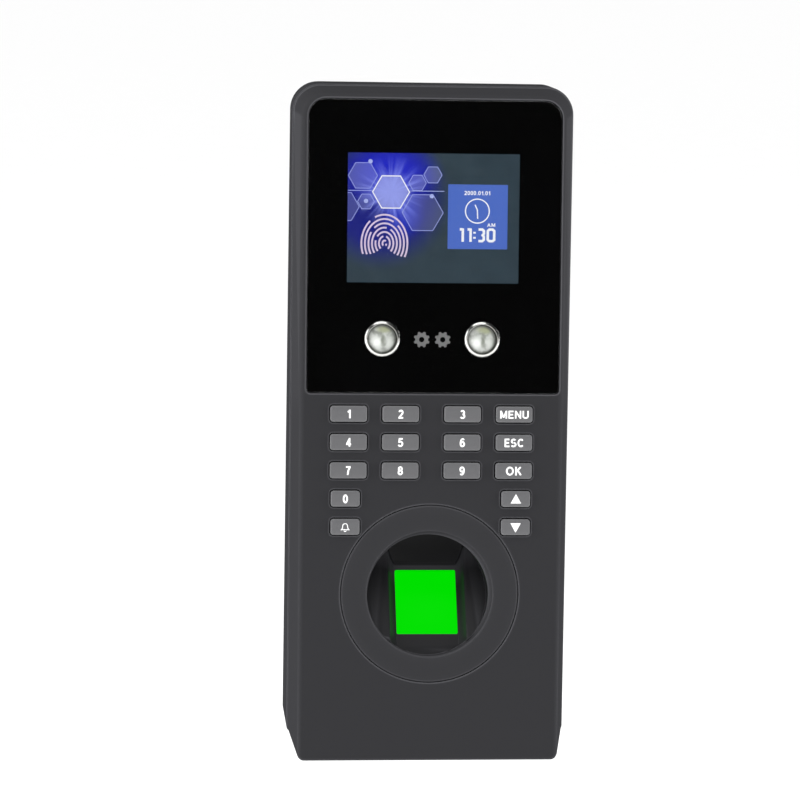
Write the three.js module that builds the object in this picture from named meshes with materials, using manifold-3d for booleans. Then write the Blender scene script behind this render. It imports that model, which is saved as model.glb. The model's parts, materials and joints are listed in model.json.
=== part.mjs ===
// A wall-mounted fingerprint terminal: colour display and infrared lamps behind one black window,
// a rubber-dome keypad, a round finger well with a tilted optical sensor, and a steel wall plate.
//
// Millimetres. The exported group's frame has +Z up, the wall at y = 0 and the front facing -Y,
// with its origin midway between the upper pair of wall screws. Inside it:
//   back   x across, y up from the terminal's base, z away from the wall
//   face   the same, but tilted back and lying on the front face, so z points out of the face
import * as THREE from "three";
import { mergeVertices } from "three/addons/utils/BufferGeometryUtils.js";
import Module from "manifold-3d";

const wasm = await Module();
wasm.setup();

// ---------------------------------------------------------------- driving dimensions
const WALL_SCREWS = { x: 17, lower: 38, upper: 148 }; // heights above the base
const FACE_DEPTH = 36; // wall to front face, at the base
const FACE_TILT = THREE.MathUtils.degToRad(5); // the face leans back
const SEAM_DEPTH = 26; // wall to the joint between the shells, at the base
const SEAM_SLOPE = 0.055; // how fast that joint nears the wall going up
const SEAM_GAP = 0.4;
const GAP = 0.3; // between pieces that rest on each other

// Outlines: half width, bottom, top and corner radii.
const REAR_OUTLINE = { half: 40.1, bottom: 4.1, top: 189.2, low: 2.3, high: 8.1 };
const SEAM_OUTLINE = { half: 39.8, bottom: 4.4, top: 188.9, low: 2, high: 7.8 };
const FACE_OUTLINE = { half: 37.3, bottom: -2.6, top: 186.9, low: 2.6, high: 6.3 };
const WINDOW_OUTLINE = { half: 35.9, bottom: 103, top: 185.5, low: 1, high: 4.6 };
const PLATE_OUTLINE = { half: 24, bottom: 14, top: 158, low: 3, high: 3 };

const REAR_WALL = 2; // rear shell: thickness of its sides
const REAR_FLOOR = 3.8; // rear shell: inner surface of its back
const PLATE_RECESS = 1.8; // depth of the pocket that takes the wall plate
const PLATE_THICK = 1.2;
const FRONT_WALL = 2.4; // front shell: thickness behind the face
const FRONT_SIDE = 3.3; // front shell: thickness of its sides at the joint
const TONGUE_INSET = 2.4;
const TONGUE_REACH = 1.5;
const EDGE_CHAMFER = 0.6;

const WINDOW_SEAT = 1.4; // depth of the recess for the window
const WINDOW_TOP = -0.25; // window surface, just under the face
const LCD_CENTRE = 152.6;
const LAMP_X = 14.27;
const LAMP_Y = 118.3;
const LAMP_HOLE = 5.1; // in the window
const CAMERA_X = 3;

const KEY_HEIGHT = 4.8;
const WIDE_KEY = 10.7;
const NARROW_KEY = 8.5;
const KEY_RADIUS = 0.7;
const KEY_CLEARANCE = 0.4; // round each key, in the front shell
const KEY_TOP = 0.9; // above the face
const KEY_FLANGE = 0.8;
const FIRST_ROW = 96.97;
const ROW_PITCH = 8.07;
const OUTER_COLUMN = 23.66;
const INNER_COLUMN = 8.83;
const NARROW_COLUMN = 24.4;
const MAT_TOP = -6;
const DOME_TOP = -4.9;

const RING_Y = 45.45; // centre of the finger well
const RING_RADIUS = 25.4;
const MOUTH_RADIUS = 17.8;
const LIP = { width: 0.5, height: 0.55 }; // raised edge round the mouth
const WELL_RADIUS = 17.1;
const WELL_OUTER = 20.8;
const WELL_TOP = -2.3;
const WELL_FLOOR = -16; // flat deep end, where the fingertip goes
const SENSOR_TILT = THREE.MathUtils.degToRad(30); // of the glass, against the face
const SENSOR_MIDDLE = { y: 41.97, z: -9.87 };
const GLASS = { width: 17.5, length: 19.5, thick: 2.6 };
const TROUGH = { margin: 0.5, radius: 3, shoulder: 1 }; // beside the glass: flat, curve and shoulder's rise

const SCREW_X = 34;
const SCREW_HEIGHTS = [12, 98, 181];
const BOSS_REACH = 7; // front bosses pass the joint by this much
const SCREW_HEAD = { radius: 2.6, height: 1.8 };
const SHANK_RADIUS = 1.35;
const BOARD_REAR = 11; // main board, from the wall
const BOARD_POSTS = { x: 26, low: 73, high: 154 };
const SPEAKER_Y = 172;
const CABLE_WAY = { width: 32, height: 22, y: 87 };
const HOOK = { x: 12, half: 3, low: 134.4, high: 135.6, tip: 139 };
const TAB = { half: 6, low: 14, high: 15.2 }; // locking tab on the wall plate
const LOCK = { y: 5, z: 6.5 }; // head and axis of the screw that locks the tab
const TAMPER = { x: 18, y: 120 };
const USB = { x: 20, z: 14.1 };

const CORNER_STEPS = 2; // each corner arc is split into twice as many sides
const SMALL_STEPS = 1;
const ROUND = 40; // sides of the larger turned pieces

// ---------------------------------------------------------------- frames
const root = new THREE.Group();
const back = new THREE.Group();
back.position.z = -WALL_SCREWS.upper;
back.rotation.x = Math.PI / 2;
const face = new THREE.Group();
face.position.z = FACE_DEPTH;
face.rotation.x = -FACE_TILT;
const sensor = new THREE.Group(); // x across, y up the glass, z out of the glass
sensor.position.set(0, SENSOR_MIDDLE.y, SENSOR_MIDDLE.z);
sensor.rotation.x = -SENSOR_TILT;
root.add(back);
back.add(face);
face.add(sensor);
root.updateMatrixWorld(true);
const faceFromBack = face.matrix.clone().invert();

const seamDepth = (height) => SEAM_DEPTH - SEAM_SLOPE * height;
const faceDepth = (height) => FACE_DEPTH - Math.tan(FACE_TILT) * height;

// ---------------------------------------------------------------- solids
function solid(geometry) {
  const bare = geometry.clone();
  bare.deleteAttribute("normal");
  bare.deleteAttribute("uv");
  const merged = mergeVertices(bare, 1e-4);
  return new wasm.Manifold(
    new wasm.Mesh({
      numProp: 3,
      vertProperties: merged.attributes.position.array,
      triVerts: new Uint32Array(merged.index.array),
    }),
  );
}

function geometryOf(made) {
  const mesh = made.getMesh();
  const geometry = new THREE.BufferGeometry();
  geometry.setAttribute("position", new THREE.BufferAttribute(mesh.vertProperties, 3));
  geometry.setIndex(new THREE.BufferAttribute(mesh.triVerts, 1));
  geometry.computeVertexNormals();
  return geometry;
}

const join = (first, ...rest) => rest.reduce((sum, next) => sum.add(next), first);
const cut = (first, ...rest) => rest.reduce((left, next) => left.subtract(next), first);

function roundedOutline({ half, bottom, top, low, high }, inset = 0) {
  const side = half - inset;
  const floor = bottom + inset;
  const roof = top - inset;
  const r = Math.max(low - inset, 0.3);
  const R = Math.max(high - inset, 0.3);
  const shape = new THREE.Shape();
  shape.absarc(side - r, floor + r, r, -Math.PI / 2, 0);
  shape.absarc(side - R, roof - R, R, 0, Math.PI / 2);
  shape.absarc(-side + R, roof - R, R, Math.PI / 2, Math.PI);
  shape.absarc(-side + r, floor + r, r, Math.PI, Math.PI * 1.5);
  shape.closePath();
  return shape;
}

const roundedRectangle = (width, height, radius, x = 0, y = 0) => {
  const shape = new THREE.Shape();
  const a = width / 2 - radius;
  const b = height / 2 - radius;
  shape.absarc(x + a, y - b, radius, -Math.PI / 2, 0);
  shape.absarc(x + a, y + b, radius, 0, Math.PI / 2);
  shape.absarc(x - a, y + b, radius, Math.PI / 2, Math.PI);
  shape.absarc(x - a, y - b, radius, Math.PI, Math.PI * 1.5);
  shape.closePath();
  return shape;
};

// The outline's points, each given a depth by the function, as one ring of a loft.
function ring(outline, inset, depthAt, steps = CORNER_STEPS) {
  const points = roundedOutline(outline, inset).getPoints(steps);
  if (points[0].distanceTo(points[points.length - 1]) < 1e-6) points.pop();
  return points.map((p) => new THREE.Vector3(p.x, p.y, depthAt(p.y)));
}

const inFace = (points) => points.map((p) => p.clone().applyMatrix4(faceFromBack));

// A closed body through convex rings with the same number of points, rear ring first.
function loft(rings) {
  const count = rings[0].length;
  const positions = rings.flat().flatMap((p) => [p.x, p.y, p.z]);
  const index = [];
  for (let i = 0; i + 1 < rings.length; i++) {
    for (let j = 0; j < count; j++) {
      const a = i * count + j;
      const b = i * count + ((j + 1) % count);
      index.push(a, b, b + count, a, b + count, a + count);
    }
  }
  const last = (rings.length - 1) * count;
  for (let j = 1; j + 1 < count; j++) {
    index.push(0, j + 1, j, last, last + j, last + j + 1);
  }
  const geometry = new THREE.BufferGeometry();
  geometry.setAttribute("position", new THREE.Float32BufferAttribute(positions, 3));
  geometry.setIndex(index);
  return solid(geometry);
}

function prism(shape, from, to, steps = CORNER_STEPS) {
  const depth = to - from;
  const made = new THREE.ExtrudeGeometry(shape, { depth, bevelEnabled: false, curveSegments: steps });
  return solid(made.translate(0, 0, from));
}

function block(x, y, z) {
  const made = new THREE.BoxGeometry(x[1] - x[0], y[1] - y[0], z[1] - z[0]);
  return solid(made.translate((x[0] + x[1]) / 2, (y[0] + y[1]) / 2, (z[0] + z[1]) / 2));
}

function drum(radius, from, to, x = 0, y = 0, sides = 16) {
  const made = new THREE.CylinderGeometry(radius, radius, to - from, sides).rotateX(Math.PI / 2);
  return solid(made.translate(x, y, (from + to) / 2));
}

// Turned about z. The profile holds [radius, z] pairs and is anticlockwise, seen with z upwards.
function turned(profile, sides = ROUND) {
  const points = profile.map(([radius, z]) => new THREE.Vector2(radius, z));
  return solid(new THREE.LatheGeometry(points, sides).rotateX(Math.PI / 2).rotateZ(Math.PI / 2));
}

// A flat ribbon bent along [y, z] points, centred on x.
function ribbon(path, x, width, thick = 0.25) {
  const shape = new THREE.Shape();
  const sideOf = (i, sign) => {
    const before = path[Math.max(i - 1, 0)];
    const after = path[Math.min(i + 1, path.length - 1)];
    const along = new THREE.Vector2(after[0] - before[0], after[1] - before[1]).normalize();
    const half = (sign * thick) / 2;
    return [path[i][0] - along.y * half, path[i][1] + along.x * half];
  };
  path.forEach((_, i) => (i ? shape.lineTo(...sideOf(i, 1)) : shape.moveTo(...sideOf(0, 1))));
  for (let i = path.length - 1; i >= 0; i--) shape.lineTo(...sideOf(i, -1));
  shape.closePath();
  const made = new THREE.ExtrudeGeometry(shape, { depth: width, bevelEnabled: false });
  // These turns make the shape's x into y and its y into z.
  made.rotateY(Math.PI / 2).rotateX(Math.PI / 2).translate(x - width / 2, 0, 0);
  return solid(made);
}

// ---------------------------------------------------------------- materials
const material = (color, roughness, metalness = 0, extra = {}) =>
  new THREE.MeshStandardMaterial({ color, roughness, metalness, ...extra });
const shellPlastic = material(0x3b3b3d, 0.55);
const ringPlastic = material(0x404042, 0.5);
const wellPlastic = material(0x222224, 0.35);
const keyPlastic = material(0x6c6c70, 0.45);
const windowAcrylic = material(0x050506, 0.06);
const lampMetal = material(0xd8d8d4, 0.2, 1);
const lampLens = material(0xd5d6cf, 0.15);
const greenGlass = material(0x12d915, 0.1, 0, { emissive: 0x0cc80c });
const screenGlass = material(0x2b4db8, 0.1, 0, { emissive: 0x1c3490 });
const sheetSteel = material(0xa9abad, 0.4, 0.9);
const screwSteel = material(0x77797c, 0.35, 0.9);
const circuitBoard = material(0x14532f, 0.5);
const siliconeGrey = material(0x55565a, 0.8);
const moduleBlack = material(0x18181a, 0.5);
const connectorWhite = material(0xd9d6c8, 0.5);
const ribbonFilm = material(0xb98a3e, 0.45);

function add(group, name, made, finish, x = 0, y = 0, z = 0) {
  const mesh = new THREE.Mesh(geometryOf(made), finish);
  mesh.name = name;
  mesh.position.set(x, y, z);
  group.add(mesh);
}

// ---------------------------------------------------------------- keypad layout
const rowY = (row) => FIRST_ROW - row * ROW_PITCH;
const keys = [];
[
  ["key_1", "key_2", "key_3", "key_menu"],
  ["key_4", "key_5", "key_6", "key_esc"],
  ["key_7", "key_8", "key_9", "key_ok"],
].forEach((names, row) =>
  [-OUTER_COLUMN, -INNER_COLUMN, INNER_COLUMN, OUTER_COLUMN].forEach((x, column) =>
    keys.push({ name: names[column], x, y: rowY(row), width: WIDE_KEY }),
  ),
);
[
  ["key_0", "key_up"],
  ["key_bell", "key_down"],
].forEach((names, row) =>
  [-NARROW_COLUMN, NARROW_COLUMN].forEach((x, column) =>
    keys.push({ name: names[column], x, y: rowY(row + 3), width: NARROW_KEY }),
  ),
);

const screwPlaces = SCREW_HEIGHTS.flatMap((height, i) =>
  [-1, 1].map((side) => ({
    name: `case_screw_${["bottom", "middle", "top"][i]}_${side < 0 ? "left" : "right"}`,
    x: side * SCREW_X,
    y: height,
    seam: seamDepth(height),
  })),
);

// ---------------------------------------------------------------- shells
function frontShell() {
  const outer = loft([
    inFace(ring(SEAM_OUTLINE, 0, (y) => seamDepth(y) + SEAM_GAP / 2)),
    ring(FACE_OUTLINE, 0, () => -EDGE_CHAMFER),
    ring(FACE_OUTLINE, EDGE_CHAMFER, () => 0),
  ]);
  const tongue = loft([
    inFace(ring(SEAM_OUTLINE, TONGUE_INSET, (y) => seamDepth(y) - TONGUE_REACH)),
    inFace(ring(SEAM_OUTLINE, TONGUE_INSET, (y) => seamDepth(y) + 0.5)),
  ]);
  const inside = loft([
    inFace(ring(SEAM_OUTLINE, FRONT_SIDE, (y) => seamDepth(y) - TONGUE_REACH - 1)),
    ring(FACE_OUTLINE, FRONT_WALL, () => -FRONT_WALL),
  ]);
  let shell = join(outer, tongue).subtract(inside);
  for (const { x, y, seam } of screwPlaces) {
    const boss = drum(2.6, seam - BOSS_REACH, faceDepth(y) - 1.9, x, y);
    const pilot = drum(1.65, seam - BOSS_REACH - 1, faceDepth(y) - FRONT_WALL, x, y, 12);
    const toFace = faceFromBack.elements;
    shell = shell.add(boss.transform(toFace)).subtract(pilot.transform(toFace));
  }
  const through = [-FRONT_WALL - 1, 1];
  const keyHoles = keys.map(({ x, y, width }) => {
    const grow = 2 * KEY_CLEARANCE;
    const hole = roundedRectangle(width + grow, KEY_HEIGHT + grow, KEY_RADIUS + 0.2, x, y);
    return prism(hole, ...through, SMALL_STEPS);
  });
  return cut(
    shell,
    prism(roundedOutline(WINDOW_OUTLINE, -GAP), -WINDOW_SEAT, 1),
    prism(roundedRectangle(61.4, 43.8, 1, 0, LCD_CENTRE), ...through),
    drum(5.7, ...through, -LAMP_X, LAMP_Y, 24),
    drum(5.7, ...through, LAMP_X, LAMP_Y, 24),
    prism(roundedRectangle(12.4, 6.2, 3, 0, LAMP_Y), ...through),
    drum(RING_RADIUS + 0.2, -1.3, 1, 0, RING_Y, ROUND),
    drum(WELL_OUTER + 0.6, ...through, 0, RING_Y, ROUND),
    ...keyHoles,
  );
}

function rearShell() {
  const outer = loft([
    ring(REAR_OUTLINE, 1, () => 0),
    ring(REAR_OUTLINE, 0, () => 1),
    ring(REAR_OUTLINE, 0, (y) => seamDepth(y) - SEAM_GAP / 2),
  ]);
  const inside = loft([
    ring(REAR_OUTLINE, REAR_WALL, () => REAR_FLOOR),
    ring(REAR_OUTLINE, REAR_WALL, (y) => seamDepth(y) + 1),
  ]);
  let shell = outer.subtract(inside);
  for (const { x, y, seam } of screwPlaces) {
    const end = seam - BOSS_REACH - SEAM_GAP;
    shell = shell.add(drum(4.2, 1, end, x, y));
    shell = cut(shell, drum(3, -1, end - 2.5, x, y), drum(1.8, 0, end + 1, x, y, 12));
  }
  for (const x of [-BOARD_POSTS.x, BOARD_POSTS.x]) {
    for (const y of [BOARD_POSTS.low, BOARD_POSTS.high]) {
      shell = shell.add(drum(2.5, 3, BOARD_REAR - GAP, x, y, 12));
    }
  }
  const lockBlock = block([-5, 5], [LOCK.y, LOCK.y + 4.5], [3, 10]);
  const lockHole = solid(new THREE.CylinderGeometry(1.8, 1.8, 12, 12).translate(0, LOCK.y + 3, LOCK.z));
  const lockWell = solid(new THREE.CylinderGeometry(3, 3, 4, 16).translate(0, LOCK.y, LOCK.z));
  const floor = [PLATE_RECESS - 1, REAR_FLOOR + 1];
  const grille = [-2, -1, 0, 1, 2].map((row) => {
    const half = 7.5 - Math.abs(row);
    const y = SPEAKER_Y + row * 2.8;
    return block([-half, half], [y - 0.7, y + 0.7], [-1, REAR_FLOOR + 1]);
  });
  const hookSlots = [-HOOK.x, HOOK.x].map((x) => {
    const half = HOOK.half + 0.6;
    return block([x - half, x + half], [HOOK.tip - 9, HOOK.high + GAP], floor);
  });
  return cut(
    shell.add(lockBlock),
    lockHole,
    lockWell,
    prism(roundedOutline(PLATE_OUTLINE, -0.4), -1, PLATE_RECESS),
    prism(roundedRectangle(CABLE_WAY.width, CABLE_WAY.height, 1.5, 0, CABLE_WAY.y), ...floor),
    ...hookSlots,
    block([-TAB.half - 0.6, TAB.half + 0.6], [TAB.low - 4.2, TAB.high + 0.4], [-1, REAR_FLOOR + 1]),
    drum(1.7, ...floor, TAMPER.x, TAMPER.y, 12),
    block([USB.x - 6.95, USB.x + 6.95], [3, 7], [USB.z - 3.25, USB.z + 3.25]),
    ...grille,
  );
}

function wallPlate() {
  const shape = roundedOutline(PLATE_OUTLINE);
  for (const x of [-WALL_SCREWS.x, WALL_SCREWS.x]) {
    for (const y of [WALL_SCREWS.lower, WALL_SCREWS.upper]) {
      shape.holes.push(new THREE.Path().absarc(x, y, 2.2, 0, 2 * Math.PI, true));
    }
  }
  const cableWay = roundedRectangle(CABLE_WAY.width + 4, CABLE_WAY.height + 4, 2, 0, CABLE_WAY.y);
  shape.holes.push(new THREE.Path(cableWay.getPoints(CORNER_STEPS).reverse()));
  let plate = prism(shape, 0, PLATE_THICK, 5);
  const hookFront = REAR_FLOOR + GAP + PLATE_THICK;
  for (const x of [-HOOK.x, HOOK.x]) {
    const across = [x - HOOK.half, x + HOOK.half];
    const stem = block(across, [HOOK.low, HOOK.high], [0.6, hookFront]);
    const tip = block(across, [HOOK.low, HOOK.tip], [REAR_FLOOR + GAP, hookFront]);
    plate = join(plate, stem, tip);
  }
  const tab = block([-TAB.half, TAB.half], [TAB.low, TAB.high], [0.6, 9]);
  const tabHole = solid(new THREE.CylinderGeometry(1.9, 1.9, 4, 12).translate(0, TAB.low + 0.6, LOCK.z));
  return plate.add(tab).subtract(tabHole);
}

// ---------------------------------------------------------------- display, lamps and cameras
const windowHoles = [-LAMP_X, LAMP_X].map((x) => drum(LAMP_HOLE, -2, 1, x, LAMP_Y, 24));
const windowPlate = prism(roundedOutline(WINDOW_OUTLINE), -WINDOW_SEAT + GAP, WINDOW_TOP);

function lcdFrame() {
  const tray = prism(roundedRectangle(60.3, 42.7, 0.6), -4.6, -1.5, SMALL_STEPS);
  return tray.subtract(prism(roundedRectangle(58.1, 41.6, 0.4), -2.5, 0, SMALL_STEPS));
}

const lampRing = turned([
  [4.35, -3.6],
  [6.4, -3.6],
  [6.4, -2.7],
  [4.98, -2.7],
  [4.98, -0.05],
  [4.85, 0.1],
  [4.5, 0.1],
  [4.35, -0.05],
  [4.35, -3.6],
], 24);

function lampLensSolid() {
  const profile = [[0, -3.2], [4.05, -3.2], [4.05, -1.2]];
  for (let i = 1; i <= 4; i++) {
    const angle = (i / 4) * (Math.PI / 2);
    profile.push([4.05 * Math.cos(angle), -1.2 + 1.45 * Math.sin(angle)]);
  }
  profile[profile.length - 1][0] = 0;
  return turned(profile, 20);
}

// ---------------------------------------------------------------- keys
function keyCap(width) {
  const rise = KEY_HEIGHT / 2;
  const cap = { half: width / 2, bottom: -rise, top: rise, low: KEY_RADIUS, high: KEY_RADIUS };
  const body = loft([
    ring(cap, 0, () => -FRONT_WALL - 0.5, SMALL_STEPS),
    ring(cap, 0, () => KEY_TOP - 0.3, SMALL_STEPS),
    ring(cap, 0.3, () => KEY_TOP, SMALL_STEPS),
  ]);
  const flange = roundedRectangle(width + 2 * KEY_FLANGE, KEY_HEIGHT + 2 * KEY_FLANGE, 1);
  return body.add(prism(flange, -3.6, -FRONT_WALL - 0.35, SMALL_STEPS));
}

function keypadOutline(from, to) {
  const sheet = prism(roundedRectangle(61.2, 40.8, 1.5, 0, 80.9), from, to);
  return sheet.subtract(drum(27.5, from - 1, to + 1, 0, RING_Y, ROUND));
}

function keypadMat() {
  const domes = keys.map(({ x, y }) => {
    const cone = new THREE.CylinderGeometry(1.2, 2, DOME_TOP - MAT_TOP + 0.2, 6).rotateX(Math.PI / 2);
    return solid(cone.translate(x, y, (DOME_TOP + MAT_TOP - 0.2) / 2));
  });
  return join(keypadOutline(MAT_TOP - 1, MAT_TOP), ...domes);
}

// ---------------------------------------------------------------- finger well and sensor
const fingerRing = turned([
  [WELL_OUTER, -2],
  [WELL_OUTER, -1],
  [RING_RADIUS, -1],
  [RING_RADIUS, -0.15],
  [RING_RADIUS - 0.4, 0.05],
  [MOUTH_RADIUS + LIP.width, LIP.height],
  [MOUTH_RADIUS, 0.1],
  [WELL_RADIUS, -1.6],
  [WELL_RADIUS, -2],
  [WELL_OUTER, -2],
], 48);

const sensorFrame = sensor.matrix.elements;

// The finger's path: a trough along the tilted glass, its sides curving up to shoulders, ending in
// the deep end.
function wellSpace() {
  const flat = GLASS.width / 2 + TROUGH.margin;
  const side = [new THREE.Vector2(flat, 0)];
  for (let i = 1; i <= 4; i++) {
    const angle = (i / 4) * (Math.PI / 2);
    const x = flat + TROUGH.radius * Math.sin(angle);
    side.push(new THREE.Vector2(x, TROUGH.radius * (1 - Math.cos(angle))));
  }
  side.push(new THREE.Vector2(WELL_RADIUS, TROUGH.radius + TROUGH.shoulder));
  side.push(new THREE.Vector2(WELL_RADIUS, 40));
  const otherSide = side.map((p) => new THREE.Vector2(-p.x, p.y)).reverse();
  const trough = new THREE.Shape([...side, ...otherSide]);
  const run = new THREE.ExtrudeGeometry(trough, { depth: 90, bevelEnabled: false, curveSegments: 1 });
  run.rotateX(Math.PI / 2).translate(0, 45, 0); // the trough now runs along y, with z out of the glass
  const mouth = drum(WELL_RADIUS, WELL_FLOOR, 5, 0, RING_Y, ROUND);
  return solid(run).transform(sensorFrame).intersect(mouth);
}

function fingerWell() {
  const body = join(
    drum(WELL_OUTER, WELL_FLOOR - 2.2, WELL_TOP, 0, RING_Y, ROUND),
    drum(24, -4.25, -FRONT_WALL - 0.35, 0, RING_Y, ROUND),
  );
  const under = block([-13, 13], [-22, 12.6], [-30, -2.2]).transform(sensorFrame);
  const glassHole = block(
    [-GLASS.width / 2 - GAP, GLASS.width / 2 + GAP],
    [-GLASS.length / 2 - GAP, GLASS.length / 2 + GAP],
    [-6, 2],
  ).transform(sensorFrame);
  return cut(body, wellSpace(), under, glassHole);
}

// ---------------------------------------------------------------- inner pieces
function mainBoard() {
  const front = BOARD_REAR + 1.6;
  const board = prism(roundedRectangle(58.4, 89, 1, 0, 113.5), BOARD_REAR, front, SMALL_STEPS);
  const chips = [
    block([-2, 12], [112, 126], [front - 0.1, front + 1.4]),
    block([-20, -9], [108, 122], [front - 0.1, front + 1.2]),
    block([16, 24], [86, 94], [front - 0.1, front + 1.2]),
    block([-24, -14], [78, 84], [front - 0.1, front + 2.4]),
  ];
  return join(board, ...chips);
}

function usbPort() {
  const can = block([-6.6, 6.6], [4.6, 18.6], [-2.9, 2.9]);
  return can.subtract(block([-6.1, 6.1], [4, 17], [-2.4, 2.4]));
}

function caseScrew() {
  const profile = [
    [0, 0],
    [SCREW_HEAD.radius, 0],
    [SCREW_HEAD.radius, SCREW_HEAD.height],
    [SHANK_RADIUS, SCREW_HEAD.height],
    [SHANK_RADIUS, 9.3],
    [0, 10],
  ];
  const cross = [[-1.3, 1.3], [-0.3, 0.3]];
  const depth = [-1, 0.9];
  return cut(turned(profile, 12), block(cross[0], cross[1], depth), block(cross[1], cross[0], depth));
}

// ---------------------------------------------------------------- assembly
add(back, "rear_shell", rearShell(), shellPlastic);
add(back, "wall_plate", wallPlate(), sheetSteel);
add(back, "main_board", mainBoard(), circuitBoard);
add(back, "clock_battery", drum(6.2, 0, 2, 0, 0, 20), screwSteel, -18, 142, BOARD_REAR + 1.9);
add(back, "wiring_connector", block([-12, 12], [-4, 4], [0, 6]), connectorWhite, 0, CABLE_WAY.y + 4, 4.7);
add(back, "power_connector", block([-5, 5], [-3.5, 3.5], [0, 6]), connectorWhite, -7, CABLE_WAY.y - 5.5, 4.7);
const speaker = [[0, 0], [9.5, 0], [9.5, 1.2], [8, 3], [5.5, 3], [5.5, 5.1], [0, 5.1]];
add(back, "speaker", turned(speaker, 20), moduleBlack, 0, SPEAKER_Y, REAR_FLOOR + GAP);
const switchCase = block([-3, 3], [-3, 3], [7.2, BOARD_REAR - GAP]);
const switchBody = switchCase.subtract(drum(1.6, 7, 10.2, 0, 0, 10));
add(back, "tamper_switch", switchBody, moduleBlack, TAMPER.x, TAMPER.y);
const plunger = drum(1.2, 0, 7.2, 0, 0, 10);
add(back, "tamper_plunger", plunger, siliconeGrey, TAMPER.x, TAMPER.y, PLATE_THICK + GAP);
add(back, "usb_port", usbPort(), sheetSteel, USB.x, 0, USB.z);
add(back, "usb_board", block([-9, 9], [6.6, 24], [-4.5, -3.3]), circuitBoard, USB.x, 0, USB.z);
for (const { name, x, y, seam } of screwPlaces) {
  const head = seam - BOSS_REACH - SEAM_GAP - 2.5 - SCREW_HEAD.height - 0.05;
  add(back, name, caseScrew(), screwSteel, x, y, head);
}
const lock = new THREE.Group();
lock.position.set(0, LOCK.y + 0.1, LOCK.z);
lock.rotation.x = -Math.PI / 2;
back.add(lock);
add(lock, "security_screw", caseScrew(), screwSteel);

add(face, "front_shell", frontShell(), shellPlastic);
add(face, "display_window", cut(windowPlate, ...windowHoles), windowAcrylic);
add(face, "lcd_frame", lcdFrame(), sheetSteel, 0, LCD_CENTRE);
const lcdGlass = prism(roundedRectangle(57.5, 41, 0.3), -2.2, -1.4, SMALL_STEPS);
add(face, "lcd_glass", lcdGlass, screenGlass, 0, LCD_CENTRE);
add(face, "camera_board", block([-22, 22], [-7, 7], [-6, -4.8]), circuitBoard, 0, LAMP_Y);
for (const [side, sign] of [["left", -1], ["right", 1]]) {
  add(face, `lamp_ring_${side}`, lampRing, lampMetal, sign * LAMP_X, LAMP_Y);
  add(face, `lamp_lens_${side}`, lampLensSolid(), lampLens, sign * LAMP_X, LAMP_Y);
  add(face, `lamp_emitter_${side}`, drum(2.6, -4.5, -3.5), connectorWhite, sign * LAMP_X, LAMP_Y);
  add(face, `camera_${side}`, drum(2.4, -4.5, -1.5), moduleBlack, sign * CAMERA_X, LAMP_Y);
}
add(face, "finger_ring", fingerRing, ringPlastic, 0, RING_Y);
add(face, "finger_well", fingerWell(), wellPlastic);
add(face, "keypad_mat", keypadMat(), siliconeGrey);
add(face, "keypad_board", keypadOutline(-8.6, -7.3), circuitBoard);
const caps = { [WIDE_KEY]: keyCap(WIDE_KEY), [NARROW_KEY]: keyCap(NARROW_KEY) };
for (const { name, x, y, width } of keys) add(face, name, caps[width], keyPlastic, x, y);

const halfGlass = [GLASS.width / 2, GLASS.length / 2];
const glass = block([-halfGlass[0], halfGlass[0]], [-halfGlass[1], halfGlass[1]], [-GLASS.thick, 0.2]);
add(sensor, "sensor_window", glass, greenGlass);
add(sensor, "sensor_body", block([-12, 12], [-12.3, 12.3], [-10.9, -2.9]), moduleBlack);
add(sensor, "sensor_board", block([-12, 12], [-12.3, 12.3], [-12.4, -11.2]), circuitBoard);

// Ribbon cables, each folded between two boards.
const lcdFold = [[134, 19], [129.5, 19], [127.6, 17.6], [127.6, 15], [129.5, 13.2], [134, 13.2]];
const keypadFold = [[92, 18.8], [99, 18.1], [102.5, 16.8], [102.5, 14.8], [100.5, 13.2], [95, 13.2]];
const sensorFold = [[46.5, 5.6], [57, 7.2], [64, 9.9], [67.5, 10.5], [74, 10.5]];
add(back, "lcd_flex", ribbon(lcdFold, 0, 14), ribbonFilm);
add(back, "keypad_flex", ribbon(keypadFold, 4, 10), ribbonFilm);
add(back, "sensor_flex", ribbon(sensorFold, 0, 8), ribbonFilm);

export default root;
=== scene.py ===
"""A wall-mounted fingerprint terminal, built round its packed frame."""

import json
import math

import bmesh
import bpy
from bpy.props import FloatProperty, FloatVectorProperty, PointerProperty
from mathutils import Matrix, Quaternion, Vector

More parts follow.
